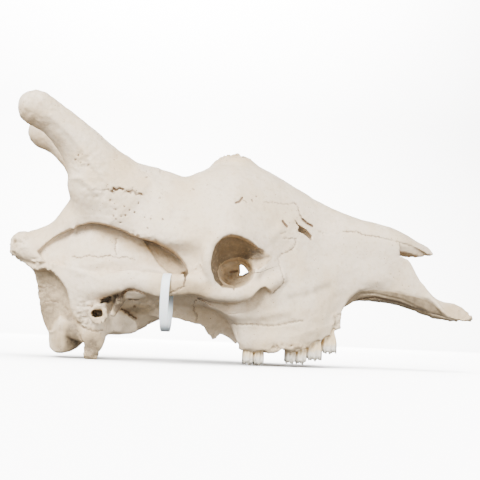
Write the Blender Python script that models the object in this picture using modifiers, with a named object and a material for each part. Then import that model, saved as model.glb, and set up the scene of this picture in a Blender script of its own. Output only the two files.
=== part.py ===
"""A giraffe skull without its lower jaw, life size, resting on its cheek teeth and on the two processes
behind the ears, with a white plastic tag loop hung on the right cheek arch.

Run with: blender --background --python part.py

Sizes are in millimetres and become metres in the meshes. +X is the nose, +Z is up, and the skull's right
side is at -Y. Each anatomical line or limb is given for one side, with y as the distance from the middle.
"""

import math

import bmesh
import bpy
import numpy as np
from mathutils import Matrix, Vector

MM = 0.001

# Overall driving sizes
SKULL_REAR = -284.0  # rear of the braincase under the nuchal crest
SKULL_FRONT = 329.0  # tips of the premaxillae
SECTION_STEP = 6.0  # spacing of the cross-sections along the skull
BONE_GRAIN = 3.0  # voxel size that melts the bone masses together
BONE_TRIANGLES = 8500  # faces kept for all the bone
PART_GAP = 0.3  # clear gap between neighbouring nodes
CRUMB = 0.02  # points this near each other are one
FLOOR = 0.0

# Colours of bleached bone, enamel and the tag
BONE_COLOUR = (0.80, 0.74, 0.64, 1.0)
HORN_COLOUR = (0.76, 0.69, 0.57, 1.0)
TAG_COLOUR = (0.72, 0.78, 0.82, 1.0)

# Lines that run along the skull from the back to the nose, as x, y, z of the right half.
# Each keeps only the points where the bone changes direction.
ROOF_MIDDLE = [
    (-284, 0, 166), (-270, 0, 172), (-256, 0, 183), (-245, 0, 198), (-234, 0, 213), (-218, 0, 228),
    (-195, 0, 239), (-165, 0, 244), (-130, 0, 249), (-86, 0, 251), (-50, 0, 268), (-15, 0, 283),
    (24, 0, 275), (71, 0, 248), (118, 0, 224), (188, 0, 205), (224, 0, 198), (248, 0, 189),
    (262, 0, 182), (274, 0, 172), (292, 0, 140), (329, 0, 84),
]  # fmt: skip
ROOF_SHOULDER = [
    (-284, 32, 164), (-256, 36, 180), (-240, 42, 202), (-224, 48, 224), (-195, 52, 237), (-150, 52, 243),
    (-86, 58, 247), (-30, 60, 262), (20, 50, 258), (60, 36, 245), (104, 27, 226), (153, 23, 210),
    (224, 22, 193), (250, 16, 185), (274, 7, 171), (292, 12, 138), (329, 15, 83),
]  # fmt: skip
ROOF_EDGE = [
    (-284, 52, 144), (-266, 56, 150), (-245, 62, 166), (-220, 70, 180), (-181, 78, 179), (-141, 90, 168),
    (-103, 104, 158), (-60, 117, 168), (-23, 116, 174), (10, 99, 178), (48, 76, 185), (78, 60, 190),
    (104, 47, 191), (146, 43, 189), (190, 41, 184), (224, 38, 177), (250, 26, 171), (274, 9, 168),
    (292, 20, 136), (329, 24, 82),
]  # fmt: skip
UPPER_WALL = [
    (-284, 52, 128), (-266, 54, 132), (-245, 57, 146), (-220, 61, 158), (-181, 67, 157), (-141, 75, 149),
    (-103, 87, 140), (-80, 100, 138), (-60, 114, 138), (-23, 115, 142), (10, 102, 142), (48, 82, 150),
    (78, 69, 152), (104, 57, 150), (146, 47, 152), (190, 43, 148), (224, 38, 146), (252, 34, 128),
    (272, 34, 110), (303, 38, 93), (329, 34, 82),
]  # fmt: skip
SIDE_WALL = [
    (-284, 46, 118), (-272, 48, 106), (-245, 56, 112), (-220, 64, 122), (-181, 72, 117), (-141, 73, 108),
    (-110, 73, 103), (-85, 88, 104), (-70, 102, 104), (-50, 107, 102), (-23, 108, 101), (10, 98, 98),
    (48, 87, 98), (78, 80, 102), (104, 68, 108), (140, 50, 118), (190, 42, 122), (224, 37, 124),
    (252, 35, 112), (272, 37, 100), (303, 42, 88), (329, 37, 79),
]  # fmt: skip
LOWER_WALL = [
    (-284, 38, 113), (-279, 40, 100), (-273, 42, 80), (-245, 58, 74), (-220, 66, 76), (-181, 62, 72),
    (-141, 46, 72), (-103, 38, 74), (-72, 56, 84), (-54, 88, 80), (-36, 94, 74), (-18, 90, 64),
    (4, 86, 58), (48, 84, 60), (84, 81, 63), (112, 69, 68), (137, 51, 90), (165, 40, 104),
    (224, 34, 105), (252, 33, 96), (272, 36, 88), (303, 42, 80), (329, 36, 76),
]  # fmt: skip
LOWER_EDGE = [
    (-284, 22, 112), (-279, 24, 98), (-274, 26, 74), (-265, 32, 50), (-225, 46, 45), (-181, 38, 43),
    (-141, 26, 43), (-103, 22, 58), (-72, 28, 70), (-54, 44, 76), (-30, 52, 70), (-16, 60, 58),
    (-4, 74, 26), (12, 78, 20), (72, 76, 22), (96, 70, 29), (117, 63, 38), (127, 58, 45),
    (135, 52, 64), (143, 45, 84), (158, 38, 96), (190, 33, 99), (224, 31, 97), (252, 31, 88),
    (278, 34, 80), (303, 38, 74), (329, 32, 75),
]  # fmt: skip
PALATE_EDGE = [
    (-284, 10, 112), (-279, 12, 98), (-274, 12, 72), (-265, 16, 48), (-225, 22, 40), (-181, 20, 36),
    (-141, 14, 38), (-103, 12, 57), (-60, 16, 66), (-30, 24, 64), (-14, 34, 54), (0, 46, 34),
    (12, 49, 28), (72, 48, 30), (100, 44, 40), (130, 32, 68), (158, 24, 91), (190, 22, 95),
    (224, 22, 93), (252, 22, 86), (278, 22, 79), (303, 22, 75), (329, 22, 76),
]  # fmt: skip
BASE_MIDDLE = [
    (-284, 0, 112), (-279, 0, 98), (-274, 0, 72), (-265, 0, 48), (-225, 0, 42), (-176, 0, 36),
    (-141, 0, 40), (-103, 0, 57), (-60, 0, 64), (0, 0, 56), (72, 0, 54), (110, 0, 66),
    (140, 0, 86), (165, 0, 94), (224, 0, 92), (252, 0, 86), (278, 0, 80), (303, 0, 77),
    (329, 0, 78),
]  # fmt: skip
SKULL_LINES = (
    ROOF_MIDDLE, ROOF_SHOULDER, ROOF_EDGE, UPPER_WALL, SIDE_WALL,
    LOWER_WALL, LOWER_EDGE, PALATE_EDGE, BASE_MIDDLE,
)  # fmt: skip

# Limbs, as x, y, z of the centre line, then the section's two radii
OSSICONE = [
    (-165, 46, 208, 62, 44), (-185, 52, 226, 54, 40), (-199, 58, 243, 48, 35), (-211, 63, 261, 36.5, 30),
    (-227, 69, 281, 28, 26), (-246, 75, 298, 23.5, 23), (-262, 79, 310, 22, 22),
    (-274, 82, 317, 23, 23), (-284, 84, 322, 23.5, 23.5),
]  # fmt: skip
CHEEK_ARCH = [
    (-214, 62, 86, 13, 8), (-190, 74, 92, 15, 10), (-165, 86, 98, 14.5, 8.5), (-140, 93, 100, 14.5, 7),
    (-115, 98, 99, 15, 6.5), (-90, 105, 100.5, 14, 7), (-65, 111, 101, 13.5, 8), (-40, 112, 92, 12, 9),
    (-15, 108, 91, 11, 9), (8, 101, 95, 11, 9), (28, 92, 103, 11, 9), (44, 83, 114, 9, 8),
]  # fmt: skip
NUCHAL_CREST = [
    (-297, 0, 146, 18, 13), (-298, 24, 146, 18, 13), (-295, 42, 144, 18, 12), (-286, 54, 135, 14, 9),
    (-268, 60, 121, 9, 7), (-249, 66, 103, 7, 6), (-234, 70, 80, 6.5, 5.5), (-220, 68, 56, 6.5, 5.5),
]  # fmt: skip
JAW_SOCKET_SPUR = [(-166, 78, 92, 7, 6), (-170, 74, 76, 5, 5), (-171, 70, 63, 3.5, 4)]
EAR_PROCESS = [
    (-194, 60, 66, 24, 9), (-195, 58, 46, 22, 9), (-197, 57, 32, 18, 8), (-200, 56, 20, 13, 6.5),
    (-200, 55, 8, 10, 5.5), (-199, 55, -1, 10.5, 5.5),
]  # fmt: skip
EAR_TUBE = [(-188, 52, 63, 11, 11), (-191, 70, 61, 10.5, 10.5), (-192, 79, 60, 10, 10)]
EAR_HOLE = [(-190, 62, 62, 4, 4.5), (-192, 78, 60, 5.5, 7.5), (-193, 92, 59, 6, 8)]
CONDYLE_CENTRE, CONDYLE_RADII = (-234, 28, 32), (23, 20, 28)
BULLA_CENTRE, BULLA_RADII = (-158, 40, 50), (20, 11, 18)
BOSS_CENTRE, BOSS_RADII = (-14, 0, 262), (38, 42, 28)

# Orbit: the ring of its rim, and the hollow
ORBIT_CENTRE = (-22, 109, 132)
ORBIT_RADII = (28, 34)  # half length and half height of the opening
ORBIT_RIM = 7.5
ORBIT_TURN = 10.0  # how much nearer the middle the front of the rim lies
ORBIT_HOLLOW = [
    (-26, 40, 126, 16, 16), (-27, 52, 128, 24, 23), (-25, 72, 131, 31, 28), (-23, 95, 132, 33, 28),
    (-22, 135, 132, 36, 30),
]  # fmt: skip
FOSSA_PASSAGE_CENTRE, FOSSA_PASSAGE_RADII = (-66, 84, 117), (26, 16, 13)

# Nose: its cavity, the notch seen from the side, and the gap between the premaxillae
NOSE_CAVITY = [
    (90, 0, 172, 18, 14), (120, 0, 162, 36, 25), (160, 0, 155, 43, 31), (200, 0, 150, 42, 32),
    (235, 0, 146, 40, 29), (262, 0, 138, 38, 24), (300, 0, 130, 38, 22), (345, 0, 122, 40, 22),
]  # fmt: skip
NOSE_NOTCH = [
    (220, 177), (236, 174), (250, 171), (262, 169), (275, 168), (350, 168), (350, 60), (326, 87),
    (303, 95), (286, 103), (269, 114), (252, 130), (240, 144), (230, 152), (220, 156),
]  # fmt: skip

# Nasal septum, seen from the side
SEPTUM = [
    (196, 194), (196, 146), (226, 147), (238, 153), (257, 160), (274, 170), (264, 180), (240, 189),
]  # fmt: skip
SEPTUM_THICKNESS = 7.0
PREMAXILLA_GAP = [
    (236, 0, 88, 12, 5), (255, 0, 86, 16, 12), (280, 0, 82, 22, 15), (323, 0, 80, 26, 18), (345, 0, 80, 30, 22),
]  # fmt: skip
CHOANA_CENTRE, CHOANA_RADII = (-26, 0, 62), (52, 23, 17)
FORAMEN_MAGNUM = [(-240, 0, 66, 14, 16), (-300, 0, 58, 19, 19)]

# Pterygoid and palatine plate, an outline seen from the side
PTERYGOID_OUTLINE = [
    (-122, 62), (-108, 56), (-86, 57), (-59, 49), (-44, 40), (-36, 31), (-31, 33), (-26, 40), (-14, 36),
    (-4, 27), (6, 40), (4, 80), (-60, 86), (-118, 76),
]  # fmt: skip
PTERYGOID_Y, PTERYGOID_THICKNESS = 31.0, 6.0

# Cheek teeth: name, middle x, length, half width, y of the middle, gum line z, biting edge z
MOLARS = {
    "third_molar": (17, 30, 11, 65, 23, -1),
    "second_molar": (44, 25, 12, 64, 24, -1),
    "first_molar": (73, 29, 11, 62, 27, 3.5),
    "fourth_premolar": (98, 18, 10.5, 58, 34, 10),
    "third_premolar": (117, 18, 9.5, 53, 42, 21),
}
TEETH_KEPT = {
    -1: ("third_molar", "first_molar", "fourth_premolar", "third_premolar"),
    1: ("second_molar", "fourth_premolar", "third_premolar"),
}
TOOTH_ROOT = 12.0  # how far a crown is sunk into the jaw

# Tag loop, a flat plastic band hung over the right cheek arch
TAG_CENTRE = (-104, -101, 77.2)
TAG_HALF_DEPTH, TAG_HALF_HEIGHT = 14.0, 36.4
TAG_SQUARENESS = 2.6  # 2 is an ellipse, more is squarer
TAG_WIDTH, TAG_THICKNESS = 11.0, 1.6
TAG_TURN = -16.0  # degrees the loop hangs turned about the vertical

# Where the bones part, as outlines seen from the side with the distances from the middle they cover.
# Each region is taken in turn from what the ones before it left.
REGIONS = {
    "ossicone": (
        [
            (-237, 226), (-196, 213), (-170, 210), (-150, 215), (-136, 232), (-130, 262), (-160, 300),
            (-250, 380), (-350, 380), (-350, 236),
        ],
        12, 160,
    ),
    "cheek_bone": (
        [
            (-90, 70), (-89, 97), (-80, 101), (-77, 119), (-20, 120), (14, 121), (40, 130), (62, 130),
            (63, 108), (44, 98), (24, 88), (4, 81), (-20, 77), (-60, 70),
        ],
        86, 160,
    ),
    "pterygoid": (
        [(-124, 20), (-124, 52), (-100, 60), (-60, 66), (-34, 62), (-18, 48), (-9, 20)], 3, 48,
    ),
}  # fmt: skip
MIDDLE_REGIONS = {
    "occiput": [
        (-262, 260), (-258, 150), (-256, 115), (-240, 99), (-228, 76), (-220, 60), (-180, 42),
        (-176, -20), (-350, -20), (-350, 260),
    ],
    "braincase": [
        (-118, 320), (-118, 210), (-104, 170), (-92, 142), (-84, 120), (-84, 20), (-320, 20), (-320, 320),
    ],
    "nasals": [
        (6, 244), (40, 231), (76, 222), (84, 204), (100, 192), (146, 189), (189, 184), (219, 177),
        (222, 144), (300, 144), (300, 320), (34, 320), (16, 262),
    ],
}  # fmt: skip
BOSS_REGION_CENTRE, BOSS_REGION_RADII = (-14, 0, 292), (48, 50, 25)
PREMAXILLA_REGION = [(221, 176), (221, 160), (214, 140), (200, 96), (196, 50), (350, 50), (350, 176)]
FRONTAL_REGION = [
    (-130, 320), (-130, 122), (-77, 119), (-20, 120), (14, 121), (40, 130), (62, 132), (78, 160),
    (84, 190), (90, 320),
]  # fmt: skip


def mm(*values):
    """A point given in millimetres, in metres."""
    return Vector(values) * MM


def clear_scene():
    for thing in list(bpy.data.objects):
        bpy.data.objects.remove(thing)


def collection(name, hidden=False):
    made = bpy.data.collections.new(name)
    made.hide_render = hidden
    bpy.context.scene.collection.children.link(made)
    return made


def material(name, colour, roughness):
    made = bpy.data.materials.new(name)
    made.use_nodes = True
    shader = made.node_tree.nodes["Principled BSDF"]
    shader.inputs["Base Color"].default_value = colour
    shader.inputs["Roughness"].default_value = roughness
    shader.inputs["Metallic"].default_value = 0.0
    return made


def hermite(knots, rows, at):
    """Rows of values read at new places along a smooth curve through them."""
    knots, rows, at = np.asarray(knots, float), np.asarray(rows, float), np.asarray(at, float)
    slope = np.gradient(rows, knots, axis=0)
    i = np.clip(np.searchsorted(knots, at, side="right") - 1, 0, len(knots) - 2)
    span = (knots[i + 1] - knots[i])[:, None]
    t = ((at - knots[i]) / span[:, 0])[:, None]
    return (
        rows[i] * (2 * t**3 - 3 * t**2 + 1)
        + slope[i] * span * (t**3 - 2 * t**2 + t)
        + rows[i + 1] * (3 * t**2 - 2 * t**3)
        + slope[i + 1] * span * (t**3 - t**2)
    )


def mesh_object(name, bm, where):
    """A closed object from a bmesh in millimetres, with its faces turned outwards."""
    bmesh.ops.recalc_face_normals(bm, faces=bm.faces)
    bmesh.ops.scale(bm, vec=(MM, MM, MM), verts=bm.verts)
    data = bpy.data.meshes.new(name)
    bm.to_mesh(data)
    bm.free()
    made = bpy.data.objects.new(name, data)
    where.objects.link(made)
    return made


def loft(name, rings, where):
    """A closed body through rings that all have the same number of points."""
    bm = bmesh.new()
    rows = [[bm.verts.new(point) for point in ring] for ring in rings]
    count = len(rows[0])
    for low, high in zip(rows, rows[1:], strict=False):
        for k in range(count):
            bm.faces.new((low[k], low[(k + 1) % count], high[(k + 1) % count], high[k]))
    for ring in (rows[0], rows[-1]):
        middle = bm.verts.new(sum((v.co for v in ring), Vector()) / count)
        for k in range(count):
            bm.faces.new((ring[k], ring[(k + 1) % count], middle))
    return mesh_object(name, bm, where)


def limb(name, rows, side, where, upright=(0, 0, 1), sides=16, dome=True):
    """A bent, tapering limb with oval sections, on one side of the skull. Its ends are domed."""
    rows = np.array(rows, float)
    rows[:, 1] *= side
    reach = np.concatenate([[0], np.cumsum(np.linalg.norm(np.diff(rows[:, :3], axis=0), axis=1))])
    fine = hermite(reach, rows, np.linspace(0, reach[-1], 3 * len(rows)))
    along = np.gradient(fine[:, :3], axis=0)
    along /= np.linalg.norm(along, axis=1)[:, None]
    across = np.cross(along, upright)
    across /= np.linalg.norm(across, axis=1)[:, None]
    up = np.cross(across, along)
    angles = np.linspace(0, 2 * math.pi, sides, endpoint=False)
    cos, sin = np.cos(angles)[:, None], np.sin(angles)[:, None]

    def ring(k, push, shrink):
        centre = fine[k, :3] + along[k] * push
        return centre + shrink * (fine[k, 3] * cos * up[k] + fine[k, 4] * sin * across[k])

    rings = [ring(k, 0, 1) for k in range(len(fine))]
    if dome:
        for turn in (30, 60, 80):
            turn = math.radians(turn)
            rings.insert(0, ring(0, -fine[0, 3:].min() * math.sin(turn), math.cos(turn)))
            rings.append(ring(-1, fine[-1, 3:].min() * math.sin(turn), math.cos(turn)))
    return loft(name, rings, where)


def ellipsoid(name, centre, radii, side, where):
    bm = bmesh.new()
    bmesh.ops.create_uvsphere(bm, u_segments=24, v_segments=16, radius=1.0)
    bmesh.ops.scale(bm, vec=radii, verts=bm.verts)
    bmesh.ops.translate(bm, vec=(centre[0], centre[1] * side, centre[2]), verts=bm.verts)
    return mesh_object(name, bm, where)


def block(name, low, high, where):
    bm = bmesh.new()
    low, high = Vector(low), Vector(high)
    bmesh.ops.create_cube(bm, size=1.0, matrix=Matrix.Diagonal((*(high - low), 1.0)))
    bmesh.ops.translate(bm, vec=(low + high) / 2, verts=bm.verts)
    return mesh_object(name, bm, where)


def side_plate(name, outline, y, thickness, where):
    """A flat plate whose outline is seen from the side, centred on y."""
    rings = [
        [(x, y + offset, z) for x, z in outline]
        for offset in (-thickness / 2, thickness / 2)
    ]
    bm = bmesh.new()
    near, far = ([bm.verts.new(point) for point in ring] for ring in rings)
    bm.faces.new(near)
    bm.faces.new(far[::-1])
    for k in range(len(near)):
        following = (k + 1) % len(near)
        bm.faces.new((near[following], near[k], far[k], far[following]))
    bmesh.ops.triangulate(bm, faces=[face for face in bm.faces if len(face.verts) > 4])
    return mesh_object(name, bm, where)


def grown(outline, margin):
    """The outline moved outwards by margin, which may be negative. It runs clockwise or not."""
    points = [Vector(point) for point in outline]
    area = sum(a.x * b.y - b.x * a.y for a, b in zip(points, points[1:] + points[:1], strict=True))
    turn = 1 if area > 0 else -1
    moved = []
    for k, point in enumerate(points):
        before = (point - points[k - 1]).normalized()
        after = (points[(k + 1) % len(points)] - point).normalized()
        bend = Vector((before.y + after.y, -before.x - after.x)) * turn
        moved.append(point + bend * (margin / max(1e-6, 1 + before.dot(after))))
    return [(point.x, point.y) for point in moved]


def baked(thing):
    """Puts the object's modifiers into its mesh."""
    graph = bpy.context.evaluated_depsgraph_get()
    data = bpy.data.meshes.new_from_object(thing.evaluated_get(graph))
    thing.modifiers.clear()
    thing.data = data
    return thing


def melted(thing, grain, smoothing):
    """Melts overlapping shapes into one skin, then smooths their joins."""
    remesh = thing.modifiers.new("Melt", "REMESH")
    remesh.mode = "VOXEL"
    remesh.voxel_size = grain * MM
    smooth = thing.modifiers.new("Smooth", "SMOOTH")
    smooth.factor = 0.5
    smooth.iterations = smoothing
    return baked(thing)


def boolean(thing, others, operation, solver="MANIFOLD"):
    """Joins a collection of tools to the object or cuts it by them, then removes the tools."""
    tools = collection("Tools", hidden=True)
    for other in others:
        for home in other.users_collection:
            home.objects.unlink(other)
        tools.objects.link(other)
    step = thing.modifiers.new(operation, "BOOLEAN")
    step.operation = operation
    step.solver = solver
    step.operand_type = "COLLECTION"
    step.collection = tools
    baked(thing)
    for other in others:
        bpy.data.objects.remove(other)
    bpy.data.collections.remove(tools)
    return thing


def largest_body(thing):
    """Keeps only the largest closed surface of the object, and drops crumbs that hang on by one edge."""
    bm = bmesh.new()
    bm.from_mesh(thing.data)
    bmesh.ops.triangulate(bm, faces=bm.faces)
    bmesh.ops.remove_doubles(bm, verts=bm.verts, dist=CRUMB * MM)
    bmesh.ops.dissolve_degenerate(bm, edges=bm.edges, dist=CRUMB * MM)
    bm.faces.ensure_lookup_table()
    seen, best = set(), []
    for start in bm.faces:
        if start.index in seen:
            continue
        seen.add(start.index)
        shell, edge_of_search = [start], [start]
        while edge_of_search:
            face = edge_of_search.pop()
            for edge in face.edges:
                for other in edge.link_faces if len(edge.link_faces) == 2 else ():
                    if other.index not in seen:
                        seen.add(other.index)
                        shell.append(other)
                        edge_of_search.append(other)
        if len(shell) > len(best):
            best = shell
    kept = set(best)
    bmesh.ops.delete(bm, geom=[face for face in bm.faces if face not in kept], context="FACES")
    bm.to_mesh(thing.data)
    bm.free()
    return thing


def joined(name, pieces, where):
    """One object that holds the meshes of several."""
    bm = bmesh.new()
    for piece in pieces:
        bm.from_mesh(piece.data)
        bpy.data.objects.remove(piece)
    data = bpy.data.meshes.new(name)
    bm.to_mesh(data)
    bm.free()
    made = bpy.data.objects.new(name, data)
    where.objects.link(made)
    return made


def skull_ring(x, samples=4):
    """The skull's cross-section at x, a smooth closed curve through the nine lines of both sides."""
    right = [hermite([p[0] for p in line], [p[1:] for p in line], [x])[0] for line in SKULL_LINES]
    corners = right + [(-y, z) for y, z in right[-2:0:-1]]
    corners = np.array(corners + corners[:1])
    corners = np.vstack([corners[-2], corners, corners[1]])
    reach = np.concatenate([[0], np.cumsum(np.sqrt(np.linalg.norm(np.diff(corners, axis=0), axis=1)))])
    stops = np.concatenate(
        [
            np.linspace(reach[k], reach[k + 1], samples, endpoint=False)
            for k in range(1, len(corners) - 2)
        ]
    )
    return [(x, y, z) for y, z in hermite(reach, corners, stops)]


def skull_body(where):
    stations = np.arange(SKULL_REAR, SKULL_FRONT + 0.1, SECTION_STEP)
    return loft("Skull body", [skull_ring(x) for x in stations], where)


def orbit_rim(side, where):
    """The raised ring round the eye, nearer the middle at its front."""
    turns = np.linspace(0, 2 * math.pi, 24, endpoint=False)
    rings = []
    x0, y0, z0 = ORBIT_CENTRE
    half_length, half_height = (radius + ORBIT_RIM * 0.8 for radius in ORBIT_RADII)
    for turn in turns:
        thickness = ORBIT_RIM * (0.8 - 0.2 * math.cos(turn))
        outward = Vector((math.cos(turn), 0, math.sin(turn)))
        centre = Vector(
            (
                x0 + half_length * math.cos(turn),
                side * (y0 - ORBIT_TURN * math.cos(turn) + 3 * math.sin(turn)),
                z0 + half_height * math.sin(turn),
            )
        )
        rings.append(
            [
                centre
                + outward * (thickness * math.cos(a))
                + Vector((0, side * thickness * math.sin(a), 0))
                for a in np.linspace(0, 2 * math.pi, 10, endpoint=False)
            ]
        )
    bm = bmesh.new()
    rows = [[bm.verts.new(point) for point in ring] for ring in rings]
    for k, row in enumerate(rows):
        following = rows[(k + 1) % len(rows)]
        for j in range(len(row)):
            i = (j + 1) % len(row)
            bm.faces.new((row[j], row[i], following[i], following[j]))
    return mesh_object("Orbit rim", bm, where)


def bone_masses(where):
    """All the masses of bone that are melted into one skull."""
    masses = [
        skull_body(where),
        ellipsoid("Median boss", BOSS_CENTRE, BOSS_RADII, 1, where),
    ]
    for side in (-1, 1):
        masses += [
            limb("Ossicone", OSSICONE, side, where, sides=24),
            limb("Cheek arch", CHEEK_ARCH, side, where),
            limb("Nuchal crest", NUCHAL_CREST, side, where),
            limb("Jaw socket spur", JAW_SOCKET_SPUR, side, where, upright=(1, 0, 0)),
            limb("Ear process", EAR_PROCESS, side, where, upright=(1, 0, 0)),
            limb("Ear tube", EAR_TUBE, side, where),
            ellipsoid("Condyle", CONDYLE_CENTRE, CONDYLE_RADII, side, where),
            ellipsoid("Bulla", BULLA_CENTRE, BULLA_RADII, side, where),
            side_plate("Pterygoid", PTERYGOID_OUTLINE, side * PTERYGOID_Y, PTERYGOID_THICKNESS, where),
            orbit_rim(side, where),
        ]
    return masses


def bone_hollows(where):
    """The hollows cut out of the melted skull."""
    hollows = [
        limb("Nose cavity", NOSE_CAVITY, 1, where),
        side_plate("Nose notch", NOSE_NOTCH, 0, 160, where),
        limb("Premaxilla gap", PREMAXILLA_GAP, 1, where),
        limb("Foramen magnum", FORAMEN_MAGNUM, 1, where),
        ellipsoid("Choana", CHOANA_CENTRE, CHOANA_RADII, 1, where),
    ]
    for side in (-1, 1):
        hollows += [
            limb("Orbit", ORBIT_HOLLOW, side, where, sides=24),
            ellipsoid("Fossa passage", FOSSA_PASSAGE_CENTRE, FOSSA_PASSAGE_RADII, side, where),
            limb("Ear hole", EAR_HOLE, side, where),
        ]
    return hollows


def tooth(name, side, where):
    """Tapered cusps, four on a molar and two on a premolar, sunk into the jaw."""
    x, length, half_width, y, gum, edge = MOLARS[name]
    lobes = 2 if "molar" in name and "pre" not in name else 1
    top = gum + TOOTH_ROOT
    cusps = []
    for lobe in range(lobes):
        for cheek_side in (-1, 1):
            bm = bmesh.new()
            bmesh.ops.create_cone(
                bm, cap_ends=True, segments=8, radius1=0.56, radius2=0.76, depth=top - edge
            )
            spread = length / lobes
            bmesh.ops.scale(bm, vec=(spread * 0.78, half_width * 1.25, 1), verts=bm.verts)
            centre = (
                x + (lobe - (lobes - 1) / 2) * spread,
                side * (y + cheek_side * half_width * 0.48),
                (top + edge) / 2,
            )
            bmesh.ops.translate(bm, vec=centre, verts=bm.verts)
            cusps.append(mesh_object(name, bm, where))
    return cusps


def whole_skull(where):
    bone = joined("Bone", bone_masses(where), where)
    melted(bone, BONE_GRAIN, 8)
    boolean(bone, bone_hollows(where), "DIFFERENCE")
    boolean(bone, [side_plate("Septum", SEPTUM, 0, SEPTUM_THICKNESS, where)], "UNION")
    melted(bone, BONE_GRAIN, 4)
    largest_body(bone)
    thin = bone.modifiers.new("Fewer faces", "DECIMATE")
    thin.ratio = BONE_TRIANGLES / len(bone.data.polygons)
    baked(bone)
    teeth = [
        cusp for side, names in TEETH_KEPT.items() for name in names for cusp in tooth(name, side, where)
    ]
    boolean(bone, teeth, "UNION")
    under_floor = block("Under the floor", (-400, -200, -60), (400, 200, FLOOR), where)
    boolean(bone, [under_floor], "DIFFERENCE")
    return largest_body(bone)


def parted(rest, name, region, wider, where):
    """Takes a region of the bone out of what is left, as a node, and a slightly wider one from the rest."""
    node = rest.copy()
    node.data = rest.data.copy()
    node.name = name
    where.objects.link(node)
    boolean(node, [region], "INTERSECT")
    boolean(rest, [wider], "DIFFERENCE")
    return largest_body(node)


def parted_by_outline(rest, name, outline, y_low, y_high, where):
    middle, thickness = (y_low + y_high) / 2, abs(y_high - y_low)
    region = side_plate("Region", outline, middle, thickness, where)
    wider = side_plate("Region", grown(outline, PART_GAP), middle, thickness + 2 * PART_GAP, where)
    return parted(rest, name, region, wider, where)


def bones_parted(rest, where):
    sides = (("_right", -1), ("_left", 1))
    nodes = []
    for name, (outline, y_low, y_high) in REGIONS.items():
        for suffix, side in sides:
            ends = sorted((side * y_low, side * y_high))
            nodes.append(parted_by_outline(rest, name + suffix, outline, *ends, where))
    boss, wider = (
        ellipsoid("Region", BOSS_REGION_CENTRE, [r + margin for r in BOSS_REGION_RADII], 1, where)
        for margin in (0, PART_GAP)
    )
    nodes.append(parted(rest, "ossicone_median", boss, wider, where))
    for name, outline in MIDDLE_REGIONS.items():
        nodes.append(parted_by_outline(rest, name, outline, -200, 200, where))
    for suffix, side in sides:
        ends = sorted((side * PART_GAP / 2, side * 90))
        nodes.append(parted_by_outline(rest, "premaxilla" + suffix, PREMAXILLA_REGION, *ends, where))
    nodes.append(parted_by_outline(rest, "frontal", FRONTAL_REGION, -200, 200, where))
    everything = [(-400, -50), (400, -50), (400, 400), (-400, 400)]
    nodes.append(parted_by_outline(rest, "maxilla_right", everything, -200, -PART_GAP / 2, where))
    rest.name = "maxilla_left"
    return [*nodes, largest_body(rest)]


def tag_loop(where):
    """A closed flat band, hung like a ring over the cheek arch."""
    count = 48
    turn_about = Matrix.Rotation(math.radians(TAG_TURN), 4, "Z")
    rings = []
    for k in range(count):
        angle = 2 * math.pi * k / count
        cos, sin = math.cos(angle), math.sin(angle)
        power = 2 / TAG_SQUARENESS
        y = TAG_HALF_DEPTH * math.copysign(abs(cos) ** power, cos)
        z = TAG_HALF_HEIGHT * math.copysign(abs(sin) ** power, sin)
        outward = Vector((0, cos / TAG_HALF_DEPTH, sin / TAG_HALF_HEIGHT)).normalized()
        section = []
        for x, out in ((-0.5, -0.5), (0.5, -0.5), (0.5, 0.5), (-0.5, 0.5)):
            point = Vector((TAG_WIDTH * x, y, z)) + outward * (TAG_THICKNESS * out)
            section.append(turn_about @ point + Vector(TAG_CENTRE))
        rings.append(section)
    bm = bmesh.new()
    rows = [[bm.verts.new(point) for point in ring] for ring in rings]
    for k, row in enumerate(rows):
        following = rows[(k + 1) % count]
        for j in range(4):
            i = (j + 1) % 4
            bm.faces.new((row[j], row[i], following[i], following[j]))
    return mesh_object("tag_loop", bm, where)


def finished(node, surface):
    node.data.materials.clear()
    node.data.materials.append(surface)
    node.data.shade_smooth()


def centred_on_floor(nodes):
    """Moves all the nodes so that the middle of their box stands over the origin."""
    corners = [vertex.co for node in nodes for vertex in node.data.vertices]
    low = Vector(map(min, zip(*corners, strict=True)))
    high = Vector(map(max, zip(*corners, strict=True)))
    shift = Vector((-(low.x + high.x) / 2, -(low.y + high.y) / 2, -low.z))
    for node in nodes:
        node.data.transform(Matrix.Translation(shift))


def main():
    clear_scene()
    skull = collection("Giraffe skull")
    bone = whole_skull(skull)
    bone_surface = material("Bone", BONE_COLOUR, 0.6)
    horn_surface = material("Horn bone", HORN_COLOUR, 0.7)
    nodes = bones_parted(bone, skull)
    for node in nodes:
        finished(node, horn_surface if "ossicone" in node.name else bone_surface)
    tag = tag_loop(skull)
    finished(tag, material("Tag plastic", TAG_COLOUR, 0.4))
    centred_on_floor([*nodes, tag])


main()
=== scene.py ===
"""The looks of a life-size giraffe skull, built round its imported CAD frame.

The bone is modelled as clay: a block of grains that each hold their distance to the surface. Lofted and
swept masses are melted into it, hollows are cut out, and sutures, pores and rough edges are pressed into
its skin. Then each bone is taken out of the block as a closed mesh along its sutures.

Sizes are in millimetres and become metres in the meshes. +X is the nose, +Z is up and the skull's right
side, which faces the camera, is at -Y. A shape given for one side has y as the distance from the middle.
"""

import functools
import itertools
import math

import bpy
import numpy as np
import openvdb
from bpy.props import FloatProperty, PointerProperty, StringProperty
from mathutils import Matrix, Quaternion, Vector


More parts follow.
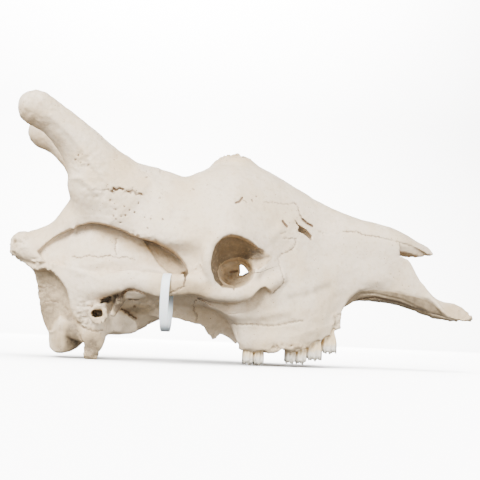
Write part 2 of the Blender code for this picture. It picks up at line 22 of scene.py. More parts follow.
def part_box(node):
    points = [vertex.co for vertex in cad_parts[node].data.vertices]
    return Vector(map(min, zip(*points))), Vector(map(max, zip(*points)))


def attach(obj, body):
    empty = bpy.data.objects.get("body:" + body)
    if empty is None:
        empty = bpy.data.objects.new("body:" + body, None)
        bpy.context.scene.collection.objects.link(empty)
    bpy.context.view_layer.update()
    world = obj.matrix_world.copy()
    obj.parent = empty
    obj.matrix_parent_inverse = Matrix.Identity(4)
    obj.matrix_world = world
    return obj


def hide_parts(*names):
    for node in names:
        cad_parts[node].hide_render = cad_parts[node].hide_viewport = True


bl_info = {
    "name": "Giraffe Skull",
    "version": (1, 0, 0),
    "blender": (4, 5, 0),
    "location": "3D View > Sidebar > Skull",
    "description": "Sculpts a bleached giraffe skull with its teeth and a plastic tag loop",
    "category": "Object",
}

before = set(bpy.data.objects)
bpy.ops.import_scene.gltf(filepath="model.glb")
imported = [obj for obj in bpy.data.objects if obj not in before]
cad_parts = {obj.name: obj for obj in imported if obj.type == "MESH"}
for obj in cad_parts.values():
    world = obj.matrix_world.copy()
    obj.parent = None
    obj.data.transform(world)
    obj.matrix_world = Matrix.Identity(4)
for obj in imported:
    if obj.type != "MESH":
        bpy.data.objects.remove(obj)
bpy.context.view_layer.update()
MM = 0.001
SIDES = {"right": -1, "left": 1}

# Tag loop, a flat plastic band hung over the right cheek arch. Its box gives where the frame's origin is.
TAG_CENTRE = Vector((-104, -101, 77.2))
TAG_TURN = -16.0  # degrees the loop hangs turned about the vertical
ORIGIN = np.array((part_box("tag_loop")[0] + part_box("tag_loop")[1]) / 2 / MM - TAG_CENTRE)

SKULL_REAR, SKULL_FRONT = -284.0, 329.0  # from under the nuchal crest to the tips of the premaxillae
STATION_STEP = 3.0  # how far apart the skull's cross-sections are
# how far the photo's line of sight drifts forwards and up for each mm towards the left
SIGHT_SLANT = (0.126, 0.092)

# Lines that run along the skull from the back to the nose, as x, y, z of the right half.
# Each keeps only the points where the bone changes direction.
ROOF_MIDDLE = [
    (-284, 0, 166), (-270, 0, 172), (-256, 0, 183), (-245, 0, 198), (-234, 0, 213), (-218, 0, 228),
    (-195, 0, 239), (-165, 0, 246), (-130, 0, 254), (-104, 0, 252), (-86, 0, 250), (-73, 0, 254),
    (-60, 0, 262), (-46, 0, 271), (-30, 0, 278), (-12, 0, 281), (12, 0, 279), (31, 0, 272), (53, 0, 261),
    (83, 0, 244), (118, 0, 226), (188, 0, 205), (224, 0, 197),
    (246, 0, 186.5), (264, 0, 175), (278, 0, 167.5), (292, 0, 140), (329, 0, 84),
]  # fmt: skip
ROOF_SHOULDER = [
    (-284, 32, 164), (-256, 36, 180), (-240, 42, 202), (-224, 48, 224), (-195, 52, 237), (-150, 52, 249),
    (-118, 53, 255), (-100, 55, 250), (-86, 57, 245), (-62, 59, 251), (-30, 56, 260), (20, 46, 258),
    (60, 34, 247), (104, 27, 227), (153, 23, 210), (224, 22, 193), (250, 15, 182), (277, 6, 167),
    (292, 12, 138), (329, 15, 83),
]  # fmt: skip
ROOF_EDGE = [
    (-284, 52, 144), (-266, 56, 150), (-245, 62, 166), (-220, 70, 180), (-181, 78, 179), (-141, 90, 168),
    (-103, 104, 158), (-60, 117, 168), (-23, 116, 174), (10, 99, 178), (48, 76, 185), (78, 60, 190),
    (104, 47, 191), (146, 43, 189), (190, 41, 184), (224, 38, 177), (250, 25, 170.5), (277, 8, 166),
    (292, 20, 136), (329, 24, 82),
]  # fmt: skip
UPPER_WALL = [
    (-284, 52, 128), (-266, 54, 132), (-245, 57, 146), (-220, 61, 158), (-181, 67, 157), (-141, 75, 149),
    (-103, 87, 140), (-80, 100, 138), (-60, 114, 138), (-23, 115, 142), (10, 102, 142), (48, 82, 150),
    (78, 69, 152), (104, 57, 150), (146, 47, 152), (190, 43, 148), (224, 38, 146), (252, 34, 128),
    (272, 34, 110), (303, 38, 93), (329, 34, 82),
]  # fmt: skip
SIDE_WALL = [
    (-284, 46, 123), (-278, 47, 117), (-270, 48, 108), (-245, 56, 112), (-220, 64, 122), (-181, 72, 117),
    (-141, 73, 108), (-110, 73, 103), (-85, 88, 104), (-70, 102, 104), (-50, 107, 102), (-23, 108, 101),
    (10, 98, 98), (48, 87, 98), (78, 80, 102), (104, 68, 108), (140, 50, 118), (190, 42, 122),
    (224, 37, 124), (252, 35, 112), (272, 37, 100), (303, 42, 88), (329, 37, 79),
]  # fmt: skip
LOWER_WALL = [
    (-284, 38, 120), (-278, 40, 113), (-274, 41, 104), (-270, 43, 88), (-262, 48, 78), (-245, 58, 74),
    (-220, 66, 76), (-181, 62, 72), (-141, 46, 72), (-103, 38, 74), (-72, 56, 84), (-54, 88, 80),
    (-36, 94, 74), (-18, 90, 64), (4, 86, 58), (48, 84, 60), (84, 81, 63), (112, 69, 68), (137, 51, 90),
    (165, 40, 104), (224, 34, 105), (252, 33, 96), (272, 36, 88), (303, 42, 80), (329, 36, 76),
]  # fmt: skip
LOWER_EDGE = [
    (-284, 22, 119), (-278, 24, 112), (-274, 26, 102), (-270, 28, 84), (-267, 30, 64), (-262, 33, 49),
    (-225, 46, 45), (-181, 38, 43), (-141, 26, 43), (-103, 22, 58), (-72, 28, 70), (-54, 44, 76),
    (-30, 52, 70), (-16, 60, 58), (-4, 74, 26), (12, 78, 20), (72, 76, 22), (96, 70, 29), (117, 63, 38),
    (127, 58, 45), (135, 52, 64), (143, 45, 84), (158, 38, 96), (190, 33, 99), (224, 31, 97), (252, 31, 88),
    (278, 34, 80), (303, 38, 73.5), (329, 32, 71),
]  # fmt: skip
PALATE_EDGE = [
    (-284, 10, 119), (-278, 12, 112), (-274, 12, 102), (-270, 13, 84), (-267, 14, 64), (-262, 17, 47),
    (-225, 22, 40), (-181, 20, 36), (-141, 14, 38), (-103, 12, 57), (-60, 16, 66), (-30, 24, 64),
    (-14, 34, 54), (0, 46, 34), (12, 49, 28), (72, 48, 30), (100, 44, 40), (130, 32, 68), (158, 24, 91),
    (190, 22, 95), (224, 22, 93), (252, 22, 86), (278, 22, 79), (303, 22, 74.5), (329, 22, 72),
]  # fmt: skip
BASE_MIDDLE = [
    (-284, 0, 119), (-278, 0, 112), (-274, 0, 102), (-270, 0, 84), (-267, 0, 64), (-262, 0, 47),
    (-225, 0, 42), (-176, 0, 36), (-141, 0, 40), (-103, 0, 57), (-60, 0, 64), (0, 0, 56), (72, 0, 54),
    (110, 0, 66), (140, 0, 86), (165, 0, 94), (224, 0, 92), (252, 0, 86), (278, 0, 80), (303, 0, 76),
    (329, 0, 74),
]  # fmt: skip
SKULL_LINES = (
    ROOF_MIDDLE, ROOF_SHOULDER, ROOF_EDGE, UPPER_WALL, SIDE_WALL,
    LOWER_WALL, LOWER_EDGE, PALATE_EDGE, BASE_MIDDLE,
)  # fmt: skip

# Limbs, as x, y, z of the centre line, then the section's two radii
OSSICONE = [
    (-165, 46, 208, 62, 44), (-185, 52, 226, 54, 40), (-199, 58, 243, 48, 35), (-211, 63, 261, 36.5, 30),
    (-227, 69, 281, 28, 26), (-246, 75, 298, 23.5, 23), (-262, 79, 310, 22, 22),
    (-274, 82, 317, 23, 23), (-284, 84, 322, 23.5, 23.5),
]  # fmt: skip
CHEEK_ARCH = [
    (-214, 64, 90, 13, 8), (-190, 74, 96, 15, 10), (-166, 85, 101, 14.5, 9), (-148, 90, 105, 12.5, 8),
    (-130, 94, 102, 14, 7.5), (-112, 98, 99, 15.5, 6.5), (-90, 105, 100.5, 13.5, 7), (-65, 111, 101, 13.5, 8),
    (-40, 112, 92, 11, 9), (-15, 108, 91, 10.5, 9), (8, 101, 96, 10.5, 9), (28, 92, 106, 10, 9),
    (44, 84, 116, 8, 8),
]  # fmt: skip
NUCHAL_CREST = [
    (-295, 0, 149, 17, 14), (-297, 24, 148, 17, 14), (-294, 42, 144, 16, 13), (-283, 53, 137, 11, 9),
    (-270, 57, 128, 6, 5),
]  # fmt: skip
JAW_SOCKET_SPUR = [(-158, 76, 88, 7.5, 4.5), (-165, 73, 73, 6, 4), (-171, 71, 60, 4.2, 3.4)]
JUGULAR_WALL = [(-234, 42, 44, 13, 9), (-215, 50, 38, 14, 9), (-200, 55, 33, 14, 8)]
EAR_PROCESS = [
    (-197, 58, 60, 14, 8), (-196, 57, 46, 15, 8.5), (-194.5, 57, 33, 16, 7.5), (-195, 56, 20, 13.5, 6),
    (-197.5, 55, 9, 9.5, 5), (-197, 55, 1, 9, 5),
]  # fmt: skip
EAR_TUBE = [(-188, 52, 63, 11.5, 11.5), (-190, 70, 59.5, 11.5, 11.5), (-189.5, 86, 57.5, 11.5, 11.5)]
EAR_TUBE_END = 84.0  # how far from the middle the tube is cut off
EAR_HOLE = [(-189, 56, 60, 4, 4.5), (-191.5, 76, 59.5, 6.0, 7.6), (-192, 94, 59.5, 6.4, 8.2)]
EAR_SLIT = [(-190, 73.5), (-184, 77), (-177, 82.5), (-174, 82.5), (-176, 79.5), (-182, 75), (-188, 72)]
HYPOGLOSSAL_KNOB, KNOB_RADII = (-228, 46, 56), (6, 6, 6)
BOSS_CENTRE, BOSS_RADII = (-12, 0, 268), (34, 38, 22)

# Orbit: the ring of its rim, and the opening that shows the daylight of the other orbit
ORBIT_CENTRE = (-22, 109, 132)
ORBIT_RADII = (28, 34)  # half length and half height of the opening
ORBIT_RIM = 7.0
ORBIT_TURN = 10.0  # how much nearer the middle the front of the rim lies
ORBIT_WINDOW = [(0.5, 139), (6, 138), (13, 130), (14, 127), (5, 122), (-1.5, 123), (2, 127)]
# the opening is wider in the far wall
WINDOW_FAR_SIDE = [(-2, 124), (5, 123), (14, 128), (16, 122), (9, 115), (-4, 116)]
FOSSA_PASSAGE_CENTRE, FOSSA_PASSAGE_RADII = (-80, 84, 113), (7, 16, 10)
BRAIN_BULGE_CENTRE, BRAIN_BULGE_RADII = (-190, 48, 132), (52, 30, 40)

# Masses built up from the side: an outline in x and z, the skin over it as x, z and y from the middle, how
# far in it starts, how round its edge is and how far it melts into what is there
MASTOID = (
    [
        (-302, 152), (-308, 140), (-302, 130), (-294, 125), (-277, 114), (-268, 114.5), (-260, 115),
        (-251, 111), (-243, 104), (-236, 96), (-231, 88), (-228, 78), (-226, 67), (-222, 57), (-217, 48),
        (-205, 40), (-193, 36), (-186, 42), (-181, 52), (-177, 64), (-180, 82), (-190, 104), (-206, 111),
        (-222, 115), (-240, 119), (-254, 123), (-266, 130), (-280, 148),
    ],
    [
        (-303, 140, 34), (-292, 134, 46), (-277, 117, 56), (-272, 127, 55), (-260, 117, 61), (-256, 121, 60),
        (-243, 107, 66), (-238, 116, 66), (-231, 90, 69), (-222, 108, 73), (-226, 69, 67), (-212, 90, 73),
        (-205, 108, 77), (-205, 70, 71), (-217, 50, 64), (-205, 50, 66), (-193, 40, 61), (-190, 92, 78),
        (-190, 66, 69), (-180, 82, 74), (-184, 46, 52), (-180, 62, 56),
    ],
    24, 2.2, 3.0,
)  # fmt: skip
CONDYLE = (
    [
        (-250, 62), (-254, 50), (-255, 30), (-253, 13), (-246, 7), (-236, 5.5), (-226, 8), (-216, 13.5),
        (-210, 20), (-208, 38), (-216, 54), (-236, 64),
    ],
    [
        (-250, 50, 34), (-251, 30, 31), (-250, 14, 28), (-243, 47, 44), (-243, 30, 46), (-243, 12, 40),
        (-236, 52, 48), (-235, 32, 53), (-233, 14, 47), (-225, 46, 43), (-223, 30, 42), (-218, 46, 37),
        (-214, 30, 32), (-213, 22, 29),
    ],
    8, 3.0, 2.5,
)  # fmt: skip
BULLA = (
    [
        (-178, 33), (-175, 50), (-169, 61), (-161, 66), (-150, 60), (-141, 53.5), (-137, 46), (-138, 39),
        (-146, 34.5), (-160, 33),
    ],
    [
        (-172, 42, 46), (-168, 57, 53), (-160, 62, 51), (-155, 52, 52), (-146, 54, 46), (-142, 44, 42),
        (-150, 38, 43), (-164, 37, 44),
    ],
    8, 3.5, 2.5,
)  # fmt: skip
GLENOID = (
    [(-158, 85), (-155, 89.5), (-146, 91), (-136, 89), (-129, 84.5), (-138, 80.5), (-150, 80), (-157, 81)],
    [(-155, 87, 83), (-146, 90, 89), (-136, 87, 88), (-131, 85, 83), (-140, 82, 82), (-150, 82, 81)],
    40, 2.0, 2.5,
)  # fmt: skip
PROCESS_WEB = (
    [
        (-194, 26), (-184, 20), (-180, 28), (-177, 32.5), (-170, 35.5), (-158, 36), (-156, 46), (-164, 56),
        (-178, 64), (-194, 62),
    ],
    [
        (-190, 28, 59), (-184, 24, 56), (-178, 36, 55), (-168, 39, 50), (-160, 42, 48), (-166, 50, 50),
        (-176, 54, 56), (-188, 44, 60), (-188, 58, 60),
    ],
    20, 3.0, 3.0,
)  # fmt: skip

# Hollows carved from the side: an outline in x and z, the floor as x, z and y from the middle, how round
# the foot of the hollow is and how round its brim
TEMPORAL_FOSSA = (
    [
        (-273, 137), (-263, 149), (-253, 157.5), (-244, 163), (-234, 168), (-222, 174), (-206, 177.5),
        (-196, 177), (-186, 175.5), (-176, 173), (-166, 170.5), (-158, 167), (-150, 163.5), (-137, 160),
        (-126, 156), (-116, 152), (-106, 147.5), (-96, 141.5), (-86, 133.5), (-79, 123), (-77, 111),
        (-84, 102), (-120, 100), (-160, 104), (-200, 110), (-222, 114), (-240, 118), (-254, 122),
        (-266, 126),
    ],
    [
        (-270, 137, 51), (-262, 128, 55), (-253, 150, 52), (-252, 125, 58), (-244, 138, 55),
        (-241, 120, 62), (-239, 161, 51), (-236, 149, 55), (-231, 140, 60), (-229, 162, 54),
        (-228, 120, 69), (-222, 171, 57), (-214, 162, 58), (-206, 175, 59), (-206, 166, 63),
        (-206, 157, 66), (-206, 146, 70), (-206, 124, 75), (-186, 173, 60), (-186, 163, 64),
        (-186, 154, 67), (-186, 144, 72), (-186, 122, 80), (-170, 168, 61), (-168, 158, 65),
        (-166, 149, 68.5), (-165, 140, 72), (-165, 120, 80), (-152, 161, 62), (-149, 150, 66),
        (-147, 140, 70), (-146, 132, 73), (-140, 112, 78), (-132, 155, 61), (-128, 145, 62),
        (-122, 132, 71), (-112, 120, 77), (-112, 149, 59), (-96, 138, 64), (-98, 112, 82), (-84, 124, 75),
        (-80, 111, 87),
    ],
    2.0, 0.6,
)  # fmt: skip
FOSSA_CHANNEL = (
    [
        (-136, 159), (-125, 143), (-119, 134), (-114, 126), (-106, 119), (-96, 111.5), (-87, 105), (-80, 105),
        (-77, 113), (-80, 126), (-86, 134.5), (-95, 143.5), (-106, 149.5), (-120, 156),
    ],
    [
        (-128, 152, 57), (-114, 146, 57), (-110, 131, 65), (-100, 140, 58), (-98, 124, 68), (-88, 118, 75),
        (-90, 132, 63), (-80, 111, 80), (-79, 124, 70), (-75, 106, 87),
    ],
    2.5, 1.2,
)  # fmt: skip
OCCIPUT_SIDE = (
    [
        (-330, 140), (-306, 128), (-294, 124), (-286, 118), (-277, 113), (-268, 113.5), (-260, 114),
        (-251, 110), (-243, 103), (-236, 95), (-231, 87), (-228, 77), (-226, 66), (-222, 56), (-217, 47),
        (-222, 38), (-250, 34), (-290, 38), (-340, 90),
    ],
    [
        (-302, 120, 24), (-288, 108, 28), (-276, 96, 33), (-276, 76, 32), (-264, 110, 42), (-262, 90, 37),
        (-262, 70, 37), (-250, 104, 44), (-246, 86, 40), (-246, 68, 41), (-238, 88, 46), (-234, 68, 46),
        (-252, 50, 33), (-234, 54, 44), (-226, 48, 50), (-266, 52, 28), (-258, 38, 26),
    ],
    4.0, 0.9,
)  # fmt: skip
SKULL_BASE = (
    [
        (-177, 81), (-172, 77.5), (-168, 80), (-165, 86), (-160, 90.5), (-153, 93), (-145, 92.5),
        (-138, 90.5), (-126, 86), (-114, 82.5), (-103, 84), (-87, 87), (-75, 88.5), (-66, 86.5),
        (-58, 83.5), (-50, 79), (-38, 71.5), (-26, 63), (-17, 53), (-9, 38), (-5, 20), (-200, 20),
        (-200, 30), (-180, 36), (-178, 50), (-176, 66),
    ],
    [
        (-170, 77, 66), (-160, 89, 68), (-150, 92, 74), (-138, 89, 74), (-124, 84, 68), (-158, 83, 74),
        (-148, 86, 82), (-136, 84, 82), (-126, 80, 78), (-150, 80, 78), (-138, 78, 74), (-114, 80, 64),
        (-168, 72, 56), (-160, 74, 54), (-148, 74, 54), (-135, 73, 50), (-120, 75, 48), (-104, 79, 58),
        (-90, 82, 66), (-76, 84, 72), (-62, 80, 70), (-168, 66, 50), (-146, 67, 42), (-128, 69, 43),
        (-112, 67, 42), (-94, 70, 46), (-78, 73, 48), (-62, 70, 48), (-50, 67, 50), (-168, 52, 42),
        (-150, 54, 36), (-130, 55, 33), (-110, 56, 31), (-85, 60, 32), (-60, 58, 33), (-40, 54, 36),
        (-26, 50, 40), (-172, 40, 38), (-150, 38, 28), (-14, 36, 44),
    ],
    3.0, 0.9,
)  # fmt: skip
CHEEK_UNDERSIDE = (
    [
        (-64, 87), (-55, 84), (-44, 81.5), (-33, 80.5), (-20, 80.5), (-6, 83), (3, 87.5), (10, 95),
        (16, 100.5), (23, 103), (31, 97), (42, 86), (40, 75), (22, 67), (0, 65), (-22, 65), (-34, 69),
        (-44, 75), (-54, 81),
    ],
    [
        (-52, 80, 70), (-42, 77, 73), (-33, 71, 82), (-22, 78, 78), (-20, 69, 89), (0, 83, 80), (0, 76, 85),
        (2, 69, 91), (12, 96, 86), (16, 84, 87), (24, 100, 92), (24, 72, 92), (34, 92, 91), (38, 80, 91),
    ],
    5.0, 1.8,
)  # fmt: skip
ORBIT = (
    [
        (-52, 130), (-50, 142), (-45, 154), (-37, 163), (-28, 167), (-16, 166.5), (-5, 163), (5, 158),
        (14, 151.5), (9, 145), (5, 139), (7.5, 131), (8, 121), (4, 111), (-4, 104), (-12, 100), (-21, 98),
        (-35, 99.5), (-45, 108), (-51, 120),
    ],
    [
        (-48, 130, 92), (-44, 146, 90), (-34, 158, 86), (-20, 162, 84), (-6, 159, 84), (6, 150, 91),
        (18, 145, 96), (32, 141, 99), (24, 134, 97), (16, 124, 95), (6, 112, 91), (-4, 104, 87),
        (-15, 101, 84), (-27, 100, 84), (-38, 106, 86), (-45, 117, 89), (-38, 130, 66), (-30, 146, 60),
        (-16, 150, 58), (-4, 146, 66), (6, 138, 82), (8, 128, 86), (0, 114, 78), (-12, 108, 66),
        (-28, 109, 66), (-36, 118, 66),
    ],
    4.0, 1.0,
)  # fmt: skip
ORBIT_CORNER = (
    [(2, 153), (14, 152), (26, 147), (34, 144), (30, 138), (24, 132), (14, 125), (4, 127)],
    [(6, 150, 87), (18, 145, 92), (32, 141, 99), (24, 134, 95), (8, 128, 88), (16, 126, 94), (10, 139, 87)],
    4.0, 2.5,
)  # fmt: skip
ORBIT_BOWL = (
    [
        (-36, 122), (-33, 130), (-26, 136), (-18, 140), (-8, 141.5), (0, 138), (6, 131), (8, 123), (5, 114),
        (-2, 107), (-12, 103), (-24, 104), (-32, 111),
    ],
    [
        (-30, 124, 54), (-20, 134, 50), (-6, 137, 52), (3, 126, 64), (0, 112, 64), (-14, 107, 58),
        (-26, 110, 56), (-14, 120, 36), (-22, 120, 42),
    ],
    3.0, 1.2,
)  # fmt: skip
GUM_LINE = [
    (-2, 20), (6, 20.5), (10, 18.5), (14, 16.5), (19, 19.5), (25, 21), (29, 20), (34, 17.5), (38, 18.5),
    (41, 17.5), (45, 20.5), (50, 24), (55, 25.5), (59, 21.5), (64, 19.5), (68, 22), (72, 20.5), (77, 24.5),
    (81, 27), (85, 25), (89, 27.5), (93, 32), (98, 35), (102, 36.5), (105, 34.5), (108, 37.5), (112, 42),
    (117, 44), (121, 43), (124, 46), (127, 50.5), (134, 55),
]  # fmt: skip
GUM_BONE = (
    [*GUM_LINE, (134, 62), (120, 58), (96, 52), (60, 40), (-2, 38)],
    [
        (0, 22, 75), (0, 38, 79), (30, 18, 78), (30, 38, 82), (52, 22, 76), (72, 22, 77), (72, 42, 82),
        (96, 36, 71), (96, 50, 76), (116, 46, 63), (116, 58, 67), (130, 53, 54), (130, 60, 57),
    ],
    47, 1.2, 2.0,
)  # fmt: skip
UNDER_GUM = (
    [*GUM_LINE, (134, -6), (-4, -6)],
    [(0, 10, 44), (60, 10, 44), (130, 10, 34), (60, 30, 44), (130, 50, 34)],
    2.0, 0.6,
)  # fmt: skip
ETHMOID_GAP = (
    [(66, 193), (72, 188), (69, 182), (79, 178.5), (90, 171), (91, 177), (84, 184), (75, 188.5)],
    [(70, 188, 48), (72, 184, 46), (80, 181, 46), (88, 175, 46), (84, 183, 47)],
    1.0, 0.5,
)  # fmt: skip
PALATE_FLANK = (
    [
        (140, 79), (148, 92), (156, 101), (163, 106), (184, 110), (208, 108.5), (227, 105.5), (248, 102),
        (261, 99), (268, 95), (279, 86), (290, 75), (300, 64), (250, 60), (150, 62), (136, 66),
    ],
    [
        (150, 92, 32), (163, 103, 36), (184, 108, 38), (208, 106, 35), (227, 103, 32), (248, 99, 31),
        (263, 95, 32), (276, 85, 32), (168, 99, 32), (190, 102, 32), (222, 97, 29), (250, 91, 28),
        (270, 84, 30), (150, 80, 24), (166, 90, 24), (190, 93, 24), (222, 88, 22), (250, 80, 22),
        (276, 72, 26), (200, 70, 12),
    ],
    1.5, 3.5,
)  # fmt: skip
PREMAXILLA_SCOOP = (
    [
        (266, 105), (275, 96), (284, 86), (294, 77), (308, 73), (322, 74), (326, 84), (312, 93), (296, 101),
        (280, 112),
    ],
    [(276, 102, 33), (290, 88, 33), (298, 80, 34), (316, 79, 33), (304, 90, 30), (286, 100, 31)],
    4.0, 1.2,
)  # fmt: skip

# Nose: its cavity, the notch seen from the side, and the gap between the premaxillae
NOSE_CAVITY = [
    (90, 0, 172, 18, 14), (120, 0, 162, 36, 25), (160, 0, 155, 43, 31), (200, 0, 150, 42, 32),
    (235, 0, 146, 37, 29), (262, 0, 138, 28, 24), (300, 0, 130, 32, 22), (345, 0, 122, 40, 22),
]  # fmt: skip
NOSE_NOTCH = [
    (219.5, 177), (236, 174), (250, 170.5), (262, 166.5), (272, 163.5), (350, 163.5), (350, 60), (334, 66),
    (328, 76), (323, 84), (315, 90), (302, 95.5), (287, 97.5), (276, 101), (267, 108), (259, 116), (251, 125),
    (241, 141), (237, 148), (231, 154), (219.5, 158),
]  # fmt: skip
# the nasal septum, seen from the side, and how far its sides lie inside the nasals' edges
SEPTUM = [
    (196, 194), (196, 164), (228, 164), (240, 163), (252, 160.5), (262, 161.5), (268, 165), (262, 178),
    (240, 189),
]  # fmt: skip
SEPTUM_INSET = 2.2
SEPTUM_FOOT = 172.0  # below this height the septum gets thinner
PREMAXILLA_GAP = [
    (236, 0, 88, 12, 5), (255, 0, 86, 16, 12), (280, 0, 82, 22, 15), (323, 0, 80, 26, 18),
    (345, 0, 80, 30, 22),
]  # fmt: skip
CHOANA_CENTRE, CHOANA_RADII = (-26, 0, 62), (52, 23, 17)
FORAMEN_MAGNUM = [(-240, 0, 66, 14, 16), (-300, 0, 58, 19, 19)]

# Pterygoid and palatine plate, an outline seen from the side
PTERYGOID_OUTLINE = [
    (-122, 62), (-108, 57.5), (-92, 59), (-76, 56), (-61, 53), (-47, 49), (-45, 41), (-36, 31), (-31, 33),
    (-26, 40), (-14, 36), (-4, 27), (6, 40), (4, 80), (-60, 86), (-118, 76),
]  # fmt: skip
PTERYGOID_Y, PTERYGOID_THICKNESS = 31.0, 6.0
# the left plate is broken off higher, so it stays out of sight behind the right one
LEFT_PLATE_BREAK = [
    (-130, 64), (-108, 63), (-86, 65), (-59, 58), (-40, 49), (-24, 47), (-2, 42), (-2, 10), (-130, 10),
]  # fmt: skip
# and the left jaw is broken off behind its last tooth
LEFT_JAW_BREAK = [(-30, 52), (-12.5, 50), (-6, 49), (1, 46), (4, 42), (9, 37.5), (19, 36), (20, 5), (-30, 5)]

# Cheek teeth: name, middle x, length, half width, y of the middle, gum line z, biting edge z
MOLARS = {
    "third_molar": (15.5, 28.5, 11, 65, 23, 0.3),
    "second_molar": (37.5, 23, 12, 64, 24, 0),
    "first_molar": (73, 29, 11, 62, 27, 3.5),
    "fourth_premolar": (98, 22, 11, 59, 33, 8.5),
    "third_premolar": (119.5, 21, 10, 54, 41, 18.5),
}
TEETH_KEPT = {
    -1: ("third_molar", "first_molar", "fourth_premolar", "third_premolar"),
    1: ("second_molar", "fourth_premolar", "third_premolar"),
}
TOOTH_ROOT = 12.0  # how far a crown is sunk into the jaw
SOCKET_GAP = 0.25  # how far a socket's wall stays off its tooth
TOOTH_BLOCK = ((0, 38, -6), (132, 82, 58))  # two corners of the clay that the left teeth are made of

CLAY_GRAIN, QUICK_CLAY_GRAIN = 1.4, 2.4
CROWN_GRAIN, QUICK_CROWN_GRAIN = 0.7, 1.2
HOLLOW_GRAIN = 4.2  # grain of the coarse block that tells how deep in a hollow a place lies
WORKED_SKIN = 7.5  # how far from the smooth surface the clay is worked
MOST_TRIANGLES = 190_000  # a bone with more is thinned in its flat places
BONE_CREASE, BAND_CREASE = math.radians(52), math.radians(40)  # sharper creases aren't shaded as smooth

# Camera of the photo: its angles in degrees, its distance in metres and the point it is aimed at
CAMERA_ANGLES = (-7.2, -5.2, 2.4)  # azimuth, elevation and roll
CAMERA_AWAY, CAMERA_LENS = 1.4, 75.0
CAMERA_AIM = (0, 0, 171.6)

# Soft lights: name, place and size in metres, power in watts, and the place they are aimed at
SKULL_AIM, BACKDROP_AIM = (0, 0, 0.15), (0, 4.0, 0.6)
SOFTBOXES = (
    ("Key softbox", (-1.1, -1.8, 1.65), (1.1, 1.1), 208, SKULL_AIM),
    ("Fill softbox", (1.9, -1.5, 0.95), (1.0, 1.0), 66, SKULL_AIM),
    ("Left softbox", (-2.2, -1.0, 0.7), (1.0, 1.0), 38, SKULL_AIM),
    ("Low softbox", (0.2, -1.5, 0.12), (2.4, 0.2), 11, SKULL_AIM),
    ("Top softbox", (0.2, 0.5, 2.4), (1.6, 1.2), 6, SKULL_AIM),
    ("Far side softbox", (0.2, 2.3, 1.0), (1.6, 1.2), 110, SKULL_AIM),
)
# These two light the paper alone, so that it stays white behind the skull
PAPER_SOFTBOXES = (
    ("Paper softbox over the floor", (0.0, -0.2, 2.6), (3.0, 2.4), 760, SKULL_AIM),
    ("Paper softbox on the backdrop", (0.0, 2.3, 2.8), (3.2, 0.8), 1000, BACKDROP_AIM),
)
AIR_LIGHT = 0.45  # strength of the even light from all round

# Paper sweep in metres: half its width, its front edge, where it bends up, the bend's radius and its top
PAPER_HALF_WIDTH, PAPER_FRONT, PAPER_BACK, PAPER_BEND, PAPER_TOP = 5.0, -2.2, 2.6, 1.2, 4.5

# Where the bones part along their sutures, as outlines seen from the side with the distances from the
# middle they cover. Each is taken in turn from what the ones before it left.
REGIONS = {
    "ossicone": (
        [
            (-240, 232), (-222, 230), (-213, 225), (-205, 220), (-196, 217), (-186, 219), (-178, 215),
            (-175, 222), (-169, 222), (-162, 218), (-155, 225), (-149, 219), (-138, 219), (-132, 236),
            (-128, 262), (-160, 300), (-250, 380), (-350, 380), (-350, 236),
        ],
        12, 160,
    ),
    "cheek_bone": (
        [
            (-92, 70), (-91, 95), (-84, 98), (-81, 108), (-77, 120), (-66, 123), (-56, 121), (-20, 120),
            (14, 121), (30, 128), (40, 132), (44, 130), (48, 119), (50, 110), (44, 104), (34, 95), (24, 88),
            (4, 81), (-20, 77), (-60, 70),
        ],
        79, 160,
    ),
    "pterygoid": (
        [(-124, 20), (-124, 52), (-100, 60), (-70, 66), (-64, 80), (-50, 76), (-34, 66), (-18, 52), (-9, 20)],
        3, 48,
    ),
}  # fmt: skip
BOSS_REGION_CENTRE, BOSS_REGION_RADII = (-14, 0, 292), (48, 50, 25)
MIDDLE_REGIONS = {
    "occiput": [
        (-264, 260), (-264, 150), (-266, 116), (-255, 113), (-244, 104), (-236, 95), (-231, 86), (-228, 76),
        (-225, 64), (-220, 54), (-212, 45), (-198, 40), (-180, 38), (-176, -20), (-350, -20), (-350, 260),
    ],
    "braincase": [
        (-118, 320), (-118, 210), (-108, 180), (-98, 160), (-92, 142), (-88, 128), (-84, 112), (-84, 20),
        (-320, 20), (-320, 320),
    ],
    "nasals": [
        (16, 262), (8, 240), (20, 224), (35, 218), (52, 218), (66, 223), (71, 217), (73, 208), (77, 198),
        (92, 191), (104, 186), (118, 183), (137, 187), (158, 188), (166, 184), (189, 182), (219, 177),
        (220.5, 159.5), (234, 157), (262, 144), (300, 144), (300, 320), (34, 320),
    ],
}  # fmt: skip
PREMAXILLA_REGION = [(219, 176), (220, 158), (214, 140), (200, 96), (196, 50), (350, 50), (350, 176)]
FRONTAL_REGION = [
    (-130, 320), (-130, 122), (-77, 119), (-20, 120), (14, 121), (40, 132), (41, 143), (46, 148), (60, 155),
    (66, 163), (67, 171), (70, 184), (73, 200), (90, 320),
]  # fmt: skip
SUTURE_WIGGLE = 0.9  # how far a suture wanders from its outline
FINE_MARK = 1.3  # marks narrower than this wander too

